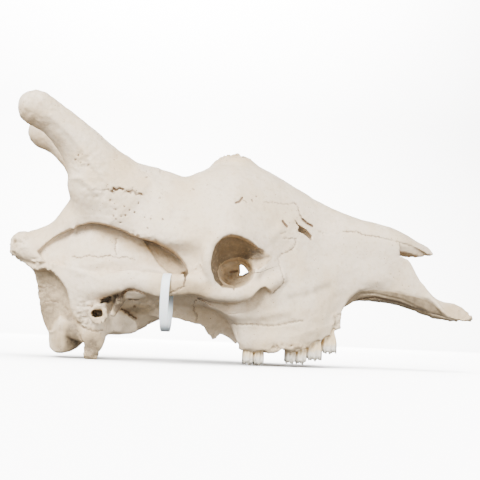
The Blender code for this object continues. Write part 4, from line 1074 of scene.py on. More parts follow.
def left_side_clay(grain):
    """The left half of the skull before its skin is worked."""
    clay = Clay((-330, 0, -8), (345, 128, 352), grain)
    stations = np.arange(SKULL_REAR, SKULL_FRONT + 0.1, STATION_STEP)
    clay.add_shape(loft_shape([skull_ring(x) for x in stations]), 1.0)
    clay.add(*clay.ball(BOSS_CENTRE, BOSS_RADII), 5)
    clay.add(*clay.ball(BRAIN_BULGE_CENTRE, BRAIN_BULGE_RADII), 12)
    clay.add_shape(limb_shape(OSSICONE, sides=36), 14)
    clay.add_shape(limb_shape(NUCHAL_CREST), 12)
    clay.build_up(*MASTOID)
    for hollow in (TEMPORAL_FOSSA, FOSSA_CHANNEL, OCCIPUT_SIDE):
        clay.carve(*hollow)
    clay.add_shape(orbit_rim_shape(), 8)
    clay.add_shape(limb_shape(CHEEK_ARCH), 7)
    clay.build_up(*GUM_BONE)
    clay.carve(*UNDER_GUM)
    for hollow in (
        SKULL_BASE, CHEEK_UNDERSIDE, ORBIT_CORNER, ORBIT, ORBIT_BOWL, ETHMOID_GAP, PALATE_FLANK,
        PREMAXILLA_SCOOP,
    ):  # fmt: skip
        clay.carve(*hollow)
    clay.cut(*clay.ball(FOSSA_PASSAGE_CENTRE, FOSSA_PASSAGE_RADII), 2)

    # the skull's base and ear
    clay.add_shape(limb_shape(JUGULAR_WALL), 5)
    clay.add_shape(limb_shape(EAR_PROCESS, upright=(1, 0, 0)), 4)
    clay.build_up(*CONDYLE)
    clay.build_up(*PROCESS_WEB)
    clay.build_up(*GLENOID)
    clay.add(*clay.ball(HYPOGLOSSAL_KNOB, KNOB_RADII), 2)
    clay.build_up(*BULLA)
    clay.add_shape(limb_shape(JAW_SOCKET_SPUR, upright=(1, 0, 0)), 5)
    part, tube = clay.stamp(limb_shape(EAR_TUBE))
    tube = -melted(-tube, EAR_TUBE_END - clay.places(part)[1], 1.5)
    clay.add(part, tube.astype(np.float32), 2.5)
    low, high = PTERYGOID_Y - PTERYGOID_THICKNESS / 2, PTERYGOID_Y + PTERYGOID_THICKNESS / 2
    clay.add(*clay.plate(PTERYGOID_OUTLINE, low, high), 5)
    clay.cut_shape(limb_shape(EAR_HOLE), 1.2)
    clay.cut(*clay.plate(EAR_SLIT, 52, 96), 0.8)

    # the nose, with a septum that is put back once the cavity is cut
    part, septum = clay.plate(SEPTUM, -60, 60)
    below = np.maximum(0, SEPTUM_FOOT - clay.places(part)[2].astype(np.float32))
    septum = np.maximum(septum, clay.depth[part] + SEPTUM_INSET + 0.5 * below)
    clay.cut_shape(limb_shape(NOSE_CAVITY, sides=36), 4)
    clay.cut(*clay.plate(NOSE_NOTCH, -80, 80), 1.2)
    clay.cut_shape(limb_shape(PREMAXILLA_GAP), 3)
    clay.cut_shape(limb_shape(FORAMEN_MAGNUM), 3)
    clay.cut(*clay.ball(CHOANA_CENTRE, CHOANA_RADII), 4)
    clay.add(part, septum, 1)
    return clay


def tooth_depth(x, y, z, name):
    """Distances to one tooth of the left side: a crown of one or two lobes, each on its tapering root."""
    middle, length, half_width, tooth_y, gum, edge = MOLARS[name]
    lobes = 1 if "pre" in name else 2
    spread = length / lobes
    u, v = x - middle, y - tooth_y
    reach = 0.5 * length
    near_lobe = (np.floor((u + reach) / spread).clip(0, lobes - 1) + 0.5) * spread - reach
    # 0 at the middle of a lobe and 1 at its ends, then 0 at the biting edge and 1 at the gum
    across = np.abs(u - near_lobe) / (0.5 * spread)
    height = np.clip((z - edge) / (gum - edge), 0, 1.6)
    taper = np.clip((height - 0.55) / 0.75, 0, 1)
    # the cheek side bulges, with upright ribs at the middle and towards the ends of each lobe
    wall = half_width * (0.94 - 0.38 * across**4 - 0.12 * taper)
    ribs = 1.8 * np.exp(-(((across - 0.72) / 0.14) ** 2)) + 1.6 * np.exp(-((across / 0.2) ** 2))
    sides = np.where(v > 0, v - wall - ribs * (1 - taper) + 1.4, -v - wall * 0.95)
    ends = np.maximum(np.abs(u) - 0.98 * reach, (across - 1.05 + 0.45 * taper) * 0.5 * spread)
    # the biting face has cusps about 7 mm apart and is worn out in the middle
    points_down = 3.4 * np.abs(np.sin(math.pi * (u + 0.6 * v + 1.2) / 7.0)) + 0.9 * np.sin(2.3 * x + 0.8 * y)
    bite = edge + 1.6 * across**2 + points_down + 3.6 * np.exp(-((v / (0.34 * half_width)) ** 2))
    crown = -melted(-np.maximum(sides, ends), z - bite, 0.5)
    return np.maximum(crown, z - gum - TOOTH_ROOT)


def tooth_row(side, grain):
    """The clay of one side's teeth."""
    (_, y_low, z_low), (_, y_high, z_high) = TOOTH_BLOCK
    clay = Clay(*TOOTH_BLOCK, grain, reach=5.0)
    for name in TEETH_KEPT[side]:
        middle, length = MOLARS[name][:2]
        part, x, y, z = clay.within((middle - length, y_low, z_low), (middle + length, y_high, z_high))
        tooth = np.clip(tooth_depth(x, y, z, name), -clay.reach, clay.reach)
        clay.add(part, tooth.astype(np.float32), 0.4)
    return clay


def cut_sockets(clay):
    """Cuts the sockets of the teeth that are kept into both jaws."""
    for side, names in TEETH_KEPT.items():
        part, x, y, z = clay.within((-2, -84, -6), (134, 84, 60))
        socket = np.full(clay.depth[part].shape, 9.0, np.float32)
        for name in names:
            tooth = tooth_depth(x, np.abs(y), z, name)
            socket = np.where(np.sign(y) == side, np.minimum(socket, tooth - SOCKET_GAP), socket)
        clay.cut(part, np.clip(socket, -9, 9), 0.6)


def measure_hollows(clay):
    """Gives the clay coarse blocks of how much bone lies round a place, near by and farther off, which the
    bone's material paints as shade.
    """
    step = max(1, round(HOLLOW_GRAIN / clay.grain))
    a, b, c = (n // step for n in clay.depth.shape)
    solid = np.clip(0.5 - clay.depth[: a * step, : b * step, : c * step] / clay.grain, 0, 1)
    solid = solid.reshape(a, step, b, step, c, step).mean((1, 3, 5))
    clay.coarse = clay.grain * step
    clay.coarse_first = clay.first / step + (step - 1) / (2 * step)
    clay.nook, clay.cave = box_blur(solid, 1), box_blur(box_blur(solid, 3), 2)


@functools.cache
def skull_clay(grain):
    """The whole skull as clay, with its skin worked and its hollows measured."""
    clay = left_side_clay(grain).mirrored()
    clay.cut(*clay.plate(ORBIT_WINDOW, -64, 106, SIGHT_SLANT), 1.0)
    clay.cut(*clay.plate(WINDOW_FAR_SIDE, 20, 106, SIGHT_SLANT), 1.0)
    clay.cut(*clay.plate(LEFT_PLATE_BREAK, 24, 40), 1.0)
    clay.cut(*clay.plate(LEFT_JAW_BREAK, 36, 110), 1.5)
    cut_sockets(clay)
    skin = np.nonzero(np.abs(clay.depth) < WORKED_SKIN)
    clay.depth[skin] += pressed(((np.stack(skin, 1) + clay.first) * grain).astype(np.float32))
    # nothing reaches below the floor
    part, _, _, z = clay.within((-400, -200, -10), (400, 200, 3))
    clay.depth[part] = np.maximum(clay.depth[part], -z)
    measure_hollows(clay)
    return clay


def bone_regions(clay):
    """Each bone's name, its part of the block and the distances to its own space there."""

    def both(name, outline, low, high):
        return [(f"{name}_{side}", outline, *sorted((way * low, way * high))) for side, way in SIDES.items()]

    everywhere = [(-400, -50), (400, -50), (400, 400), (-400, 400)]
    own_spaces = [space for name, region in REGIONS.items() for space in both(name, *region)]
    own_spaces.append(("ossicone_median", None, 0, 0))
    own_spaces += [(name, outline, -200, 200) for name, outline in MIDDLE_REGIONS.items()]
    own_spaces += both("premaxilla", PREMAXILLA_REGION, 0, 200)
    own_spaces.append(("frontal", FRONTAL_REGION, -200, 200))
    own_spaces += both("maxilla", everywhere, 0, 200)

    untaken = np.full(clay.depth.shape, -clay.reach, np.float32)
    for name, outline, low, high in own_spaces:
        if outline is None:
            part, own = clay.ball(BOSS_REGION_CENTRE, BOSS_REGION_RADII)
        else:
            part, own = clay.plate(outline, low, high)
            if outline is not everywhere:
                x, _, z = (along.astype(np.float32) for along in clay.places(part))
                own = own + SUTURE_WIGGLE * wiggle(z, x)
        own = np.clip(own, -clay.reach, clay.reach).astype(np.float32)
        yield name, part, np.maximum(own, untaken[part])
        untaken[part] = np.maximum(untaken[part], -own)


def main_body(points, quads):
    """Only the largest connected body of a quad mesh."""
    label = np.arange(len(points))
    while True:
        lowest = label[quads].min(1)
        fresh = label.copy()
        for k in range(4):
            np.minimum.at(fresh, quads[:, k], lowest)
        fresh = fresh[fresh]
        if (fresh == label).all():
            break
        label = fresh
    names, counts = np.unique(label[quads[:, 0]], return_counts=True)
    kept = label[quads[:, 0]] == names[counts.argmax()]
    used, renumbered = np.unique(quads[kept], return_inverse=True)
    return points[used], renumbered.reshape(-1, 4)


def skin_of(depth, first, grain):
    """Points and quads of the surface where depth is zero, in mm, facing outwards."""
    grid = openvdb.FloatGrid()
    grid.background = float(depth.max())
    grid.copyFromArray(np.ascontiguousarray(depth), ijk=tuple(int(i) for i in first))
    grid.transform = openvdb.createLinearTransform(voxelSize=grain)
    points, quads = grid.convertToQuads(isovalue=0.0)
    points, quads = np.array(points, float), np.array(quads, np.int64)
    a, b, c = (points[quads[:, k]] for k in range(3))
    volume = (np.cross(b - a, c - a) * a).sum()
    return points, quads if volume > 0 else quads[:, ::-1]


def sharpened(points, depth, region, first, grain):
    """Points near a bone's cut edge, moved on to the edge where the skin meets the cut."""

    def measured(block, spots):
        here = sampled(block, first, grain, spots)
        slope = np.stack(
            [
                sampled(block, first, grain, spots + step) - sampled(block, first, grain, spots - step)
                for step in np.eye(3) * 0.5 * grain
            ],
            1,
        ) / grain
        return here, slope

    for _ in range(2):
        skin, skin_slope = measured(depth, points)
        cut, cut_slope = measured(region, points)
        near = (np.abs(skin) < 0.9 * grain) & (np.abs(cut) < 0.9 * grain)
        a, b = (skin_slope * skin_slope).sum(1), (cut_slope * cut_slope).sum(1)
        c = (skin_slope * cut_slope).sum(1)
        whole = a * b - c * c
        near &= whole > 0.1
        p = (b * skin - c * cut)[near] / whole[near]
        q = (a * cut - c * skin)[near] / whole[near]
        move = p[:, None] * skin_slope[near] + q[:, None] * cut_slope[near]
        length = np.linalg.norm(move, axis=1)[:, None]
        points[near] -= move * np.minimum(1, grain / np.maximum(length, 1e-6))
    return points


def shaded(data, crease):
    """A mesh shaded smooth, but for creases sharper than an angle."""
    data.shade_smooth()
    data.set_sharp_from_angle(angle=crease)
    return data


def made_mesh(name, points, faces, surface, values):
    """A mesh piece from points in millimetres, with values on its points for the material to read."""
    data = bpy.data.meshes.new(name)
    data.from_pydata(((points + ORIGIN) * MM).tolist(), [], faces.tolist())
    for key, numbers in values.items():
        layer = data.attributes.new(key, "FLOAT", "POINT")
        layer.data.foreach_set("value", np.asarray(numbers, np.float32))
    data.materials.append(surface)
    made = bpy.data.objects.new(name, shaded(data, BONE_CREASE))
    bpy.context.scene.collection.objects.link(made)
    return made


def applied(piece, crease):
    """A piece with its modifiers worked into its mesh."""
    rough = piece.data
    graph = bpy.context.evaluated_depsgraph_get()
    piece.data = shaded(bpy.data.meshes.new_from_object(piece.evaluated_get(graph)), crease)
    piece.modifiers.clear()
    bpy.data.meshes.remove(rough)
    piece.data.name = piece.name
    return piece


def thinned(piece):
    """A piece with its flat places made coarser, where it has more triangles than one piece may have."""
    triangles = sum(len(face.vertices) - 2 for face in piece.data.polygons)
    if triangles > MOST_TRIANGLES:
        piece.modifiers.new("Thinned", "DECIMATE").ratio = MOST_TRIANGLES / triangles
        applied(piece, BONE_CREASE)
    return piece


def finished(piece, slot, *nodes):
    """Joins a finished piece to the frame in place of its CAD nodes."""
    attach(piece, "root")
    if nodes:
        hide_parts(*nodes)
    return piece


@functools.cache
def parted_clay(grain):
    """Each bone by name: the first grain of its part of the block, the clay there and its own space."""
    clay = skull_clay(grain)
    parted = {}
    for name, part, region in bone_regions(clay):
        depth = clay.depth[part]
        solid = np.nonzero(np.maximum(depth, region) < 0)
        crop = tuple(slice(max(0, k.min() - 3), k.max() + 4) for k in solid)
        first = clay.first + [s.start + c.start for s, c in zip(part, crop, strict=True)]
        parted[name] = first, depth[crop].copy(), region[crop].copy()
    return clay, parted


def add_bones(context, surface, slots):
    """The bones that slots names, each a closed mesh with the values that its material reads."""
    clay, parted = parted_clay(clay_grain(context))
    for name, slot in slots.items():
        first, depth, region = parted[name]
        points, quads = main_body(*skin_of(np.maximum(depth, region), first, clay.grain))
        points = sharpened(points, depth, region, first, clay.grain)
        spots = points.astype(np.float32)
        stain_and_shade, crumbly = stains_and_shade(spots)
        side_dust_and_shade, top_dust = marks_at(spots, all_marks()[0])[1], marks_at(spots, MIDLINE_SUTURES, axis=2)[1]
        # the hollow measures and the dents are painted as shade, the stain values hold painted shade as well
        # as stains, and a few of the drawn lines are painted shadow
        values = {
            "cave": sampled(clay.cave, clay.coarse_first, clay.coarse, spots),
            "nook": sampled(clay.nook, clay.coarse_first, clay.coarse, spots),
            "dust_and_shade": np.maximum(side_dust_and_shade, top_dust),
            "stain_and_shade": stain_and_shade,
            "crumbly": crumbly,
            "pit_shade": pressed(spots),
        }
        piece = thinned(made_mesh(name + "_bone", points, quads, surface, values))
        finished(piece, slot, name)


def linear(colour):
    """An sRGB hex colour as linear RGBA."""
    channels = (int(colour[k : k + 2], 16) / 255 for k in (1, 3, 5))
    return (*(c / 12.92 if c <= 0.04045 else ((c + 0.055) / 1.055) ** 2.4 for c in channels), 1.0)


def node(tree, kind, settings=None, **inputs):
    """Adds a node, sets its properties, and links or sets its inputs by name, with _ for a space."""
    made = tree.nodes.new(kind)
    for key, value in (settings or {}).items():
        setattr(made, key, value)
    for key, value in inputs.items():
        numbered = key[0] == "i" and key[1:].isdigit()
        socket = made.inputs[int(key[1:]) if numbered else key.replace("_", " ")]
        if isinstance(value, bpy.types.NodeSocket):
            tree.links.new(value, socket)
        else:
            socket.default_value = value
    return made


def new_material(name):
    made = bpy.data.materials.new(name)
    made.use_nodes = True
    made.node_tree.nodes.clear()
    return made, made.node_tree


def painted(tree, colour, layers):
    """A colour under layers of others, each with the share that it covers."""
    for share, over in layers:
        mix = node(
            tree, "ShaderNodeMix", {"data_type": "RGBA", "clamp_factor": True}, i0=share, i6=colour, i7=over
        )
        colour = mix.outputs[2]
    return colour


def graded(tree, value, low, high, top=1.0):
    """A value turned to 0 at low and to top at high, smoothly."""
    made = node(tree, "ShaderNodeMapRange", {"interpolation_type": "SMOOTHSTEP"}, Value=value)
    for socket, number in (("From Min", low), ("From Max", high), ("To Max", top)):
        made.inputs[socket].default_value = number
    return made.outputs[0]


def dry_bone(name, looks, tint, grit):
    """Dry degreased bone, bleached in the sun: chalky and matt, with vessel pores of under a millimetre, a
    silky grain, cream where it was thick with fat, tan dust in its sutures, and painted shade in its
    hollows, its dents and on its faces that turn down."""
    made, tree = new_material(name)
    place = node(tree, "ShaderNodeTexCoord").outputs["Object"]
    cave, nook, dust_and_shade, stain_and_shade, crumbly, pit_shade = (
        node(tree, "ShaderNodeAttribute", {"attribute_name": key}).outputs["Fac"]
        for key in ("cave", "nook", "dust_and_shade", "stain_and_shade", "crumbly", "pit_shade")
    )
    facing = node(tree, "ShaderNodeNewGeometry").outputs["Normal"]
    upward = node(tree, "ShaderNodeSeparateXYZ", Vector=facing).outputs["Z"]
    # clouds of warmer bone about 60 mm across, and fibres about 2 mm apart
    clouds = node(
        tree, "ShaderNodeTexNoise", Vector=place, Scale=1 / 0.06, Detail=4.0, Roughness=0.6
    ).outputs[0]
    fibres = node(
        tree, "ShaderNodeTexNoise", Vector=place, Scale=1 / 0.0022, Detail=2.0, Roughness=0.7
    ).outputs[0]
    blotches = node(
        tree, "ShaderNodeTexNoise", Vector=place, Scale=1 / 0.009, Detail=3.0, Roughness=0.65
    ).outputs[0]
    mottles = node(
        tree, "ShaderNodeTexNoise", Vector=place, Scale=1 / 0.005, Detail=4.0, Roughness=0.6
    ).outputs[0]
    # pores 0.5 to 1 mm wide, drawn as coarse as they need to show, in patches about 25 mm across
    cells = node(
        tree, "ShaderNodeTexVoronoi", {"feature": "F1"}, Vector=place, Scale=1 / 0.0062, Randomness=1.0
    ).outputs["Distance"]
    patches = node(tree, "ShaderNodeTexNoise", Vector=place, Scale=1 / 0.025, Detail=1.0).outputs[0]
    holes = node(
        tree, "ShaderNodeMath", {"operation": "MULTIPLY"}, i0=graded(tree, cells, 0.14, 0.06),
        i1=graded(tree, patches, 0.5, 0.62),
    ).outputs[0]  # fmt: skip

    # stains and painted shade together, with blotches, which turn the bone cream, then brown, then dark brown
    cloudy = node(
        tree, "ShaderNodeMath", {"operation": "MULTIPLY_ADD"}, i0=blotches, i1=0.5, i2=stain_and_shade
    ).outputs[0]
    layers = (
        (graded(tree, clouds, 0.35, 0.7, 0.75), linear(tint)),
        (graded(tree, blotches, 0.52, 0.8, 0.35), linear("#C4AA80")),
        (graded(tree, cloudy, 0.30, 0.80, 0.85), linear(looks.cream_colour)),
        (graded(tree, cloudy, 0.72, 1.25, 0.85), linear(looks.stain_and_shade_colour)),
        (graded(tree, cloudy, 1.25, 1.75, 0.9), linear(looks.dark_shade_colour)),
        (graded(tree, mottles, 0.50, 0.70, 0.4), linear("#BDA784")),
        # painted shade: tan on the faces that turn down
        (graded(tree, upward, 0.0, -0.9, 0.5), linear(looks.underside_shade_colour)),
        # painted shade: tan and brown in the hollows, nooks and dents
        (graded(tree, cave, 0.58, 0.80, 0.6), linear(looks.hollow_shade_colour)),
        (graded(tree, cave, 0.74, 0.90, 0.8), linear(looks.deep_shade_colour)),
        (graded(tree, nook, 0.60, 0.85, 0.6), linear(looks.hollow_shade_colour)),
        (graded(tree, pit_shade, 0.2, 1.8, 0.6), linear(looks.hollow_shade_colour)),
        (holes, linear("#8A6840")),
        # dust in the sutures and pores, and painted shadow along a few drawn lines
        (graded(tree, dust_and_shade, 0.10, 1.0, 0.85), linear(looks.suture_colour)),
    )
    colour = painted(tree, linear(looks.bone_colour), layers)

    # crumbs of spongy bone about 3 mm across, where the outer layer has worn through
    crumbs = node(
        tree, "ShaderNodeTexNoise", Vector=place, Scale=1 / 0.003, Detail=3.0, Roughness=0.7
    ).outputs[0]
    crumbs = node(tree, "ShaderNodeMath", {"operation": "MULTIPLY"}, i0=crumbs, i1=crumbly).outputs[0]
    layers = (
        (graded(tree, crumbs, 0.30, 0.62, 0.55), linear(looks.cream_colour)),
    )
    colour = painted(tree, colour, layers)

    height = node(
        tree, "ShaderNodeMath", {"operation": "MULTIPLY_ADD"}, i0=fibres, i1=0.35, i2=blotches
    ).outputs[0]
    height = node(
        tree, "ShaderNodeMath", {"operation": "MULTIPLY_ADD"}, i0=crumbs, i1=2.5, i2=height
    ).outputs[0]
    height = node(tree, "ShaderNodeMath", {"operation": "SUBTRACT"}, i0=height, i1=holes).outputs[0]
    bump = node(tree, "ShaderNodeBump", Height=height, Strength=grit, Distance=0.0014)
    shader = node(
        tree, "ShaderNodeBsdfPrincipled", Base_Color=colour, Normal=bump.outputs[0], Roughness=0.62, IOR=1.5
    )
    shader.inputs["Specular IOR Level"].default_value = 0.3
    shader.inputs["Subsurface Weight"].default_value = 0.06
    shader.inputs["Subsurface Radius"].default_value = (1.0, 0.75, 0.55)
    shader.inputs["Subsurface Scale"].default_value = 0.003
    node(tree, "ShaderNodeOutputMaterial", Surface=shader.outputs[0])
    return made


def worn_enamel(looks):
    """Worn tooth enamel: satin and grey-white with fine upright cracks, over cream cement at the root, and
    painted grey shade towards the biting edge.
    """
    made, tree = new_material("Worn enamel")
    place = node(tree, "ShaderNodeTexCoord").outputs["Object"]
    root, bite = (
        node(tree, "ShaderNodeAttribute", {"attribute_name": key}).outputs["Fac"] for key in ("root", "bite")
    )
    # upright streaks about 1.5 mm apart
    long_place = node(tree, "ShaderNodeMapping", Vector=place, Scale=(1, 1, 0.18)).outputs[0]
    streaks = node(tree, "ShaderNodeTexNoise", Vector=long_place, Scale=1 / 0.0018, Detail=3.0).outputs[0]
    crust = node(tree, "ShaderNodeTexNoise", Vector=place, Scale=1 / 0.004, Detail=4.0).outputs[0]
    edge = node(tree, "ShaderNodeMath", {"operation": "MULTIPLY_ADD"}, i0=crust, i1=0.5, i2=root).outputs[0]
    layers = (
        (graded(tree, streaks, 0.42, 0.66), linear("#C9C2B2")),
        (graded(tree, edge, 0.62, 1.0, 0.9), linear(looks.root_colour)),
        # painted shade: grey towards the biting edge, where the grooves between the cusps lie in shadow
        (graded(tree, edge, 0.66, 0.34, 0.9), linear("#77705F")),
        (graded(tree, bite, 0.3, 1.0, 0.8), linear("#7C7462")),
    )
    colour = painted(tree, linear(looks.enamel_colour), layers)
    bump = node(tree, "ShaderNodeBump", Height=crust, Strength=0.35, Distance=0.0006)
    shader = node(
        tree, "ShaderNodeBsdfPrincipled", Base_Color=colour, Normal=bump.outputs[0], Roughness=0.38,
        IOR=1.62,
    )  # fmt: skip
    node(tree, "ShaderNodeOutputMaterial", Surface=shader.outputs[0])
    return made


def satin_polyethylene(looks):
    """Moulded polyethylene: bluish white and satin, faintly cloudy, with fine mould grain."""
    made, tree = new_material("Satin polyethylene")
    place = node(tree, "ShaderNodeTexCoord").outputs["Object"]
    haze = node(tree, "ShaderNodeTexNoise", Vector=place, Scale=1 / 0.012, Detail=2.0).outputs[0]
    # mould grain about 0.6 mm
    grain = node(tree, "ShaderNodeTexNoise", Vector=place, Scale=1 / 0.0006, Detail=1.0).outputs[0]
    layers = (
        (graded(tree, haze, 0.4, 0.7, 0.6), linear("#DDE4E8")),
    )
    colour = painted(tree, linear(looks.tag_colour), layers)
    # painted shade: grey along its lower bend, and a painted shadow of the cheek arch on its inner side
    side = node(tree, "ShaderNodeSeparateXYZ", Vector=place).outputs
    arch_shadow = node(
        tree, "ShaderNodeMath", {"operation": "MULTIPLY"},
        i0=graded(tree, side["Y"], -0.098, -0.091), i1=graded(tree, side["Z"], 0.060, 0.084, 0.8),
    ).outputs[0]  # fmt: skip
    layers = (
        (graded(tree, side["Z"], 0.052, 0.042, 0.85), linear("#7B8385")),
        (arch_shadow, linear("#767E80")),
    )
    colour = painted(tree, colour, layers)
    bump = node(tree, "ShaderNodeBump", Height=grain, Strength=0.15, Distance=0.0002)
    shader = node(
        tree, "ShaderNodeBsdfPrincipled", Base_Color=colour, Normal=bump.outputs[0], Roughness=0.4, IOR=1.51
    )
    shader.inputs["Subsurface Weight"].default_value = 0.15
    shader.inputs["Subsurface Scale"].default_value = 0.002
    node(tree, "ShaderNodeOutputMaterial", Surface=shader.outputs[0])
    return made


def studio_paper(looks):
    """A sweep of matt white paper."""
    made, tree = new_material("Matt white paper")
    place = node(tree, "ShaderNodeTexCoord").outputs["Object"]
    # paper tooth, drawn 3 mm wide so that it shows
    tooth = node(tree, "ShaderNodeTexNoise", Vector=place, Scale=1 / 0.003, Detail=2.0).outputs[0]
    bump = node(tree, "ShaderNodeBump", Height=tooth, Strength=0.05, Distance=0.0003)
    shader = node(
        tree, "ShaderNodeBsdfPrincipled", Base_Color=linear(looks.paper_colour), Normal=bump.outputs[0],
        Roughness=0.9,
    )  # fmt: skip
    node(tree, "ShaderNodeOutputMaterial", Surface=shader.outputs[0])
    return made


def tag_tree():
    """A flat band along a squarish ring that stands in its own YZ plane, turned and placed."""
    tree = bpy.data.node_groups.new("Tag loop", "GeometryNodeTree")
    tree.interface.new_socket("Geometry", in_out="OUTPUT", socket_type="NodeSocketGeometry")
    for label, default in (
        ("Half Depth", 0.014), ("Half Height", 0.0364), ("Width", 0.011), ("Thickness", 0.0016),
        ("Squareness", 2.2), ("Narrowing", 0.3), ("Turn", 0.0),
    ):  # fmt: skip
        socket = tree.interface.new_socket(label, in_out="INPUT", socket_type="NodeSocketFloat")
        socket.default_value = default
    tree.interface.new_socket("Centre", in_out="INPUT", socket_type="NodeSocketVector")
    tree.interface.new_socket("Material", in_out="INPUT", socket_type="NodeSocketMaterial")
    given = node(tree, "NodeGroupInput").outputs

    ring = node(tree, "GeometryNodeCurvePrimitiveCircle", Resolution=96, Radius=1.0).outputs[0]
    spot = node(tree, "GeometryNodeInputPosition").outputs[0]
    spot = node(tree, "ShaderNodeSeparateXYZ", Vector=spot).outputs
    power = node(tree, "ShaderNodeMath", {"operation": "DIVIDE"}, i0=2.0, i1=given["Squareness"]).outputs[0]
    sides = []
    for value, half in ((spot[0], given["Half Depth"]), (spot[1], given["Half Height"])):
        away = node(tree, "ShaderNodeMath", {"operation": "ABSOLUTE"}, i0=value).outputs[0]
        sign = node(tree, "ShaderNodeMath", {"operation": "SIGN"}, i0=value).outputs[0]
        bent = node(tree, "ShaderNodeMath", {"operation": "POWER"}, i0=away, i1=power).outputs[0]
        bent = node(tree, "ShaderNodeMath", {"operation": "MULTIPLY"}, i0=bent, i1=sign).outputs[0]
        sides.append(node(tree, "ShaderNodeMath", {"operation": "MULTIPLY"}, i0=bent, i1=half).outputs[0])
    placed = node(tree, "ShaderNodeCombineXYZ", X=0.0, Y=sides[0], Z=sides[1]).outputs[0]
    path = node(tree, "GeometryNodeSetPosition", Geometry=ring, Position=placed).outputs[0]
    # the band narrows where it bends over at the top and the bottom; away is still its height there
    bend = node(tree, "ShaderNodeMath", {"operation": "POWER"}, i0=away, i1=6.0).outputs[0]
    bend = node(tree, "ShaderNodeMath", {"operation": "MULTIPLY"}, i0=bend, i1=given["Narrowing"]).outputs[0]
    radius = node(tree, "ShaderNodeMath", {"operation": "SUBTRACT"}, i0=1.0, i1=bend).outputs[0]
    path = node(tree, "GeometryNodeSetCurveRadius", Curve=path, Radius=radius).outputs[0]
    path = node(tree, "GeometryNodeResampleCurve", Curve=path, Count=120).outputs[0]
    section = node(
        tree, "GeometryNodeCurvePrimitiveQuadrilateral", Width=given["Width"], Height=given["Thickness"]
    ).outputs[0]
    section = node(
        tree, "GeometryNodeFilletCurve", {"mode": "POLY"}, Curve=section, Count=3, Radius=0.0005
    ).outputs[0]
    band = node(tree, "GeometryNodeCurveToMesh", Curve=path).outputs[0]
    tree.links.new(section, band.node.inputs["Profile Curve"])
    turn = node(tree, "ShaderNodeCombineXYZ", Z=given["Turn"]).outputs[0]
    band = node(
        tree, "GeometryNodeTransform", Geometry=band, Translation=given["Centre"], Rotation=turn
    ).outputs[0]
    band = node(tree, "GeometryNodeRealizeInstances", Geometry=band).outputs[0]
    band = node(tree, "GeometryNodeSetMaterial", Geometry=band, Material=given["Material"]).outputs[0]
    node(tree, "NodeGroupOutput", Geometry=band)
    return tree


def shaped_by(name, tree, inputs):
    """A plain mesh piece from a geometry node tree and its named inputs."""
    host = bpy.data.objects.new(name, bpy.data.meshes.new(name))
    bpy.context.scene.collection.objects.link(host)
    step = host.modifiers.new(name, "NODES")
    step.node_group = tree
    sockets = {s.name: s.identifier for s in tree.interface.items_tree if s.item_type == "SOCKET"}
    for label, value in inputs.items():
        step[sockets[label]] = value
    return applied(host, BAND_CREASE)


class SkullLooks(bpy.types.PropertyGroup):
    """The colours and sizes that a user would change."""

    bone_colour: StringProperty(name="Bone", description="Bleached bone, sRGB hex", default="#DCCAB2")
    warm_colour: StringProperty(name="Warm bone", description="Creamier clouds, sRGB hex", default="#D0B995")
    horn_colour: StringProperty(
        name="Horn bone", description="Clouds on the horns, sRGB hex", default="#D2B88E"
    )
    # cream of fat stains, and of the lighter painted shade
    cream_colour: StringProperty(
        name="Cream bone", description="Where fat yellowed it, sRGB hex", default="#B8A07C"
    )
    # stain and painted shade: the brown of the eye sockets and of shaded hollows
    stain_and_shade_colour: StringProperty(
        name="Stained bone", description="Brown of the eye sockets, sRGB hex", default="#483D30"
    )
    # painted shade on the faces that turn down
    underside_shade_colour: StringProperty(
        name="Underside", description="Fatty bone that faces down, sRGB hex", default="#9C886C"
    )
    # painted shade in the hollows
    hollow_shade_colour: StringProperty(
        name="Hollow", description="Tan of the hollows, sRGB hex", default="#96866F"
    )
    # painted shade in the deepest hollows
    deep_shade_colour: StringProperty(
        name="Deep hollow", description="Brown of the deepest hollows, sRGB hex", default="#57442F"
    )
    # painted shade inside the ear, the slits and the fossa passage
    dark_shade_colour: StringProperty(
        name="Dark passage", description="Inside of the ear and slits, sRGB hex", default="#2A1D12"
    )
    suture_colour: StringProperty(
        name="Suture", description="Dust in the sutures and pores, sRGB hex", default="#6A5138"
    )
    enamel_colour: StringProperty(
        name="Enamel", description="Crowns of the teeth, sRGB hex", default="#D8CDBC"
    )
    root_colour: StringProperty(
        name="Root cement", description="Cement by the gum line, sRGB hex", default="#D6BA88"
    )
    tag_colour: StringProperty(name="Tag plastic", description="The tag loop, sRGB hex", default="#DDE3E4")
    paper_colour: StringProperty(
        name="Paper", description="The floor and its sweep, sRGB hex", default="#F0EFEE"
    )
    grain: FloatProperty(
        name="Clay grain", description="Size of a grain of the bone's clay, in mm",
        default=CLAY_GRAIN, min=1.0, max=4.0,
    )  # fmt: skip
    light: FloatProperty(
        name="Light", description="Strength of the softboxes", default=1.0, min=0.0, max=5.0, subtype="FACTOR"
    )


class TagSizes(bpy.types.PropertyGroup):
    """The tag loop's sizes."""

    half_depth: FloatProperty(
        name="Half depth", description="From the middle to the side", default=0.014, unit="LENGTH"
    )
    half_height: FloatProperty(
        name="Half height", description="From the middle to the top", default=0.0364, unit="LENGTH"
    )
    width: FloatProperty(name="Width", description="Width of the band", default=0.011, unit="LENGTH")
    thickness: FloatProperty(
        name="Thickness", description="Thickness of the band", default=0.0016, unit="LENGTH"
    )
    squareness: FloatProperty(
        name="Squareness", description="2 is an ellipse, more is squarer", default=2.15, min=2.0
    )
    narrowing: FloatProperty(
        name="Narrowing", description="How far the band narrows at its bends", default=0.3, max=0.9
    )


def clay_grain(context):
    """The size of the clay's grains in millimetres."""
    return round(context.scene.skull_looks.grain, 2)


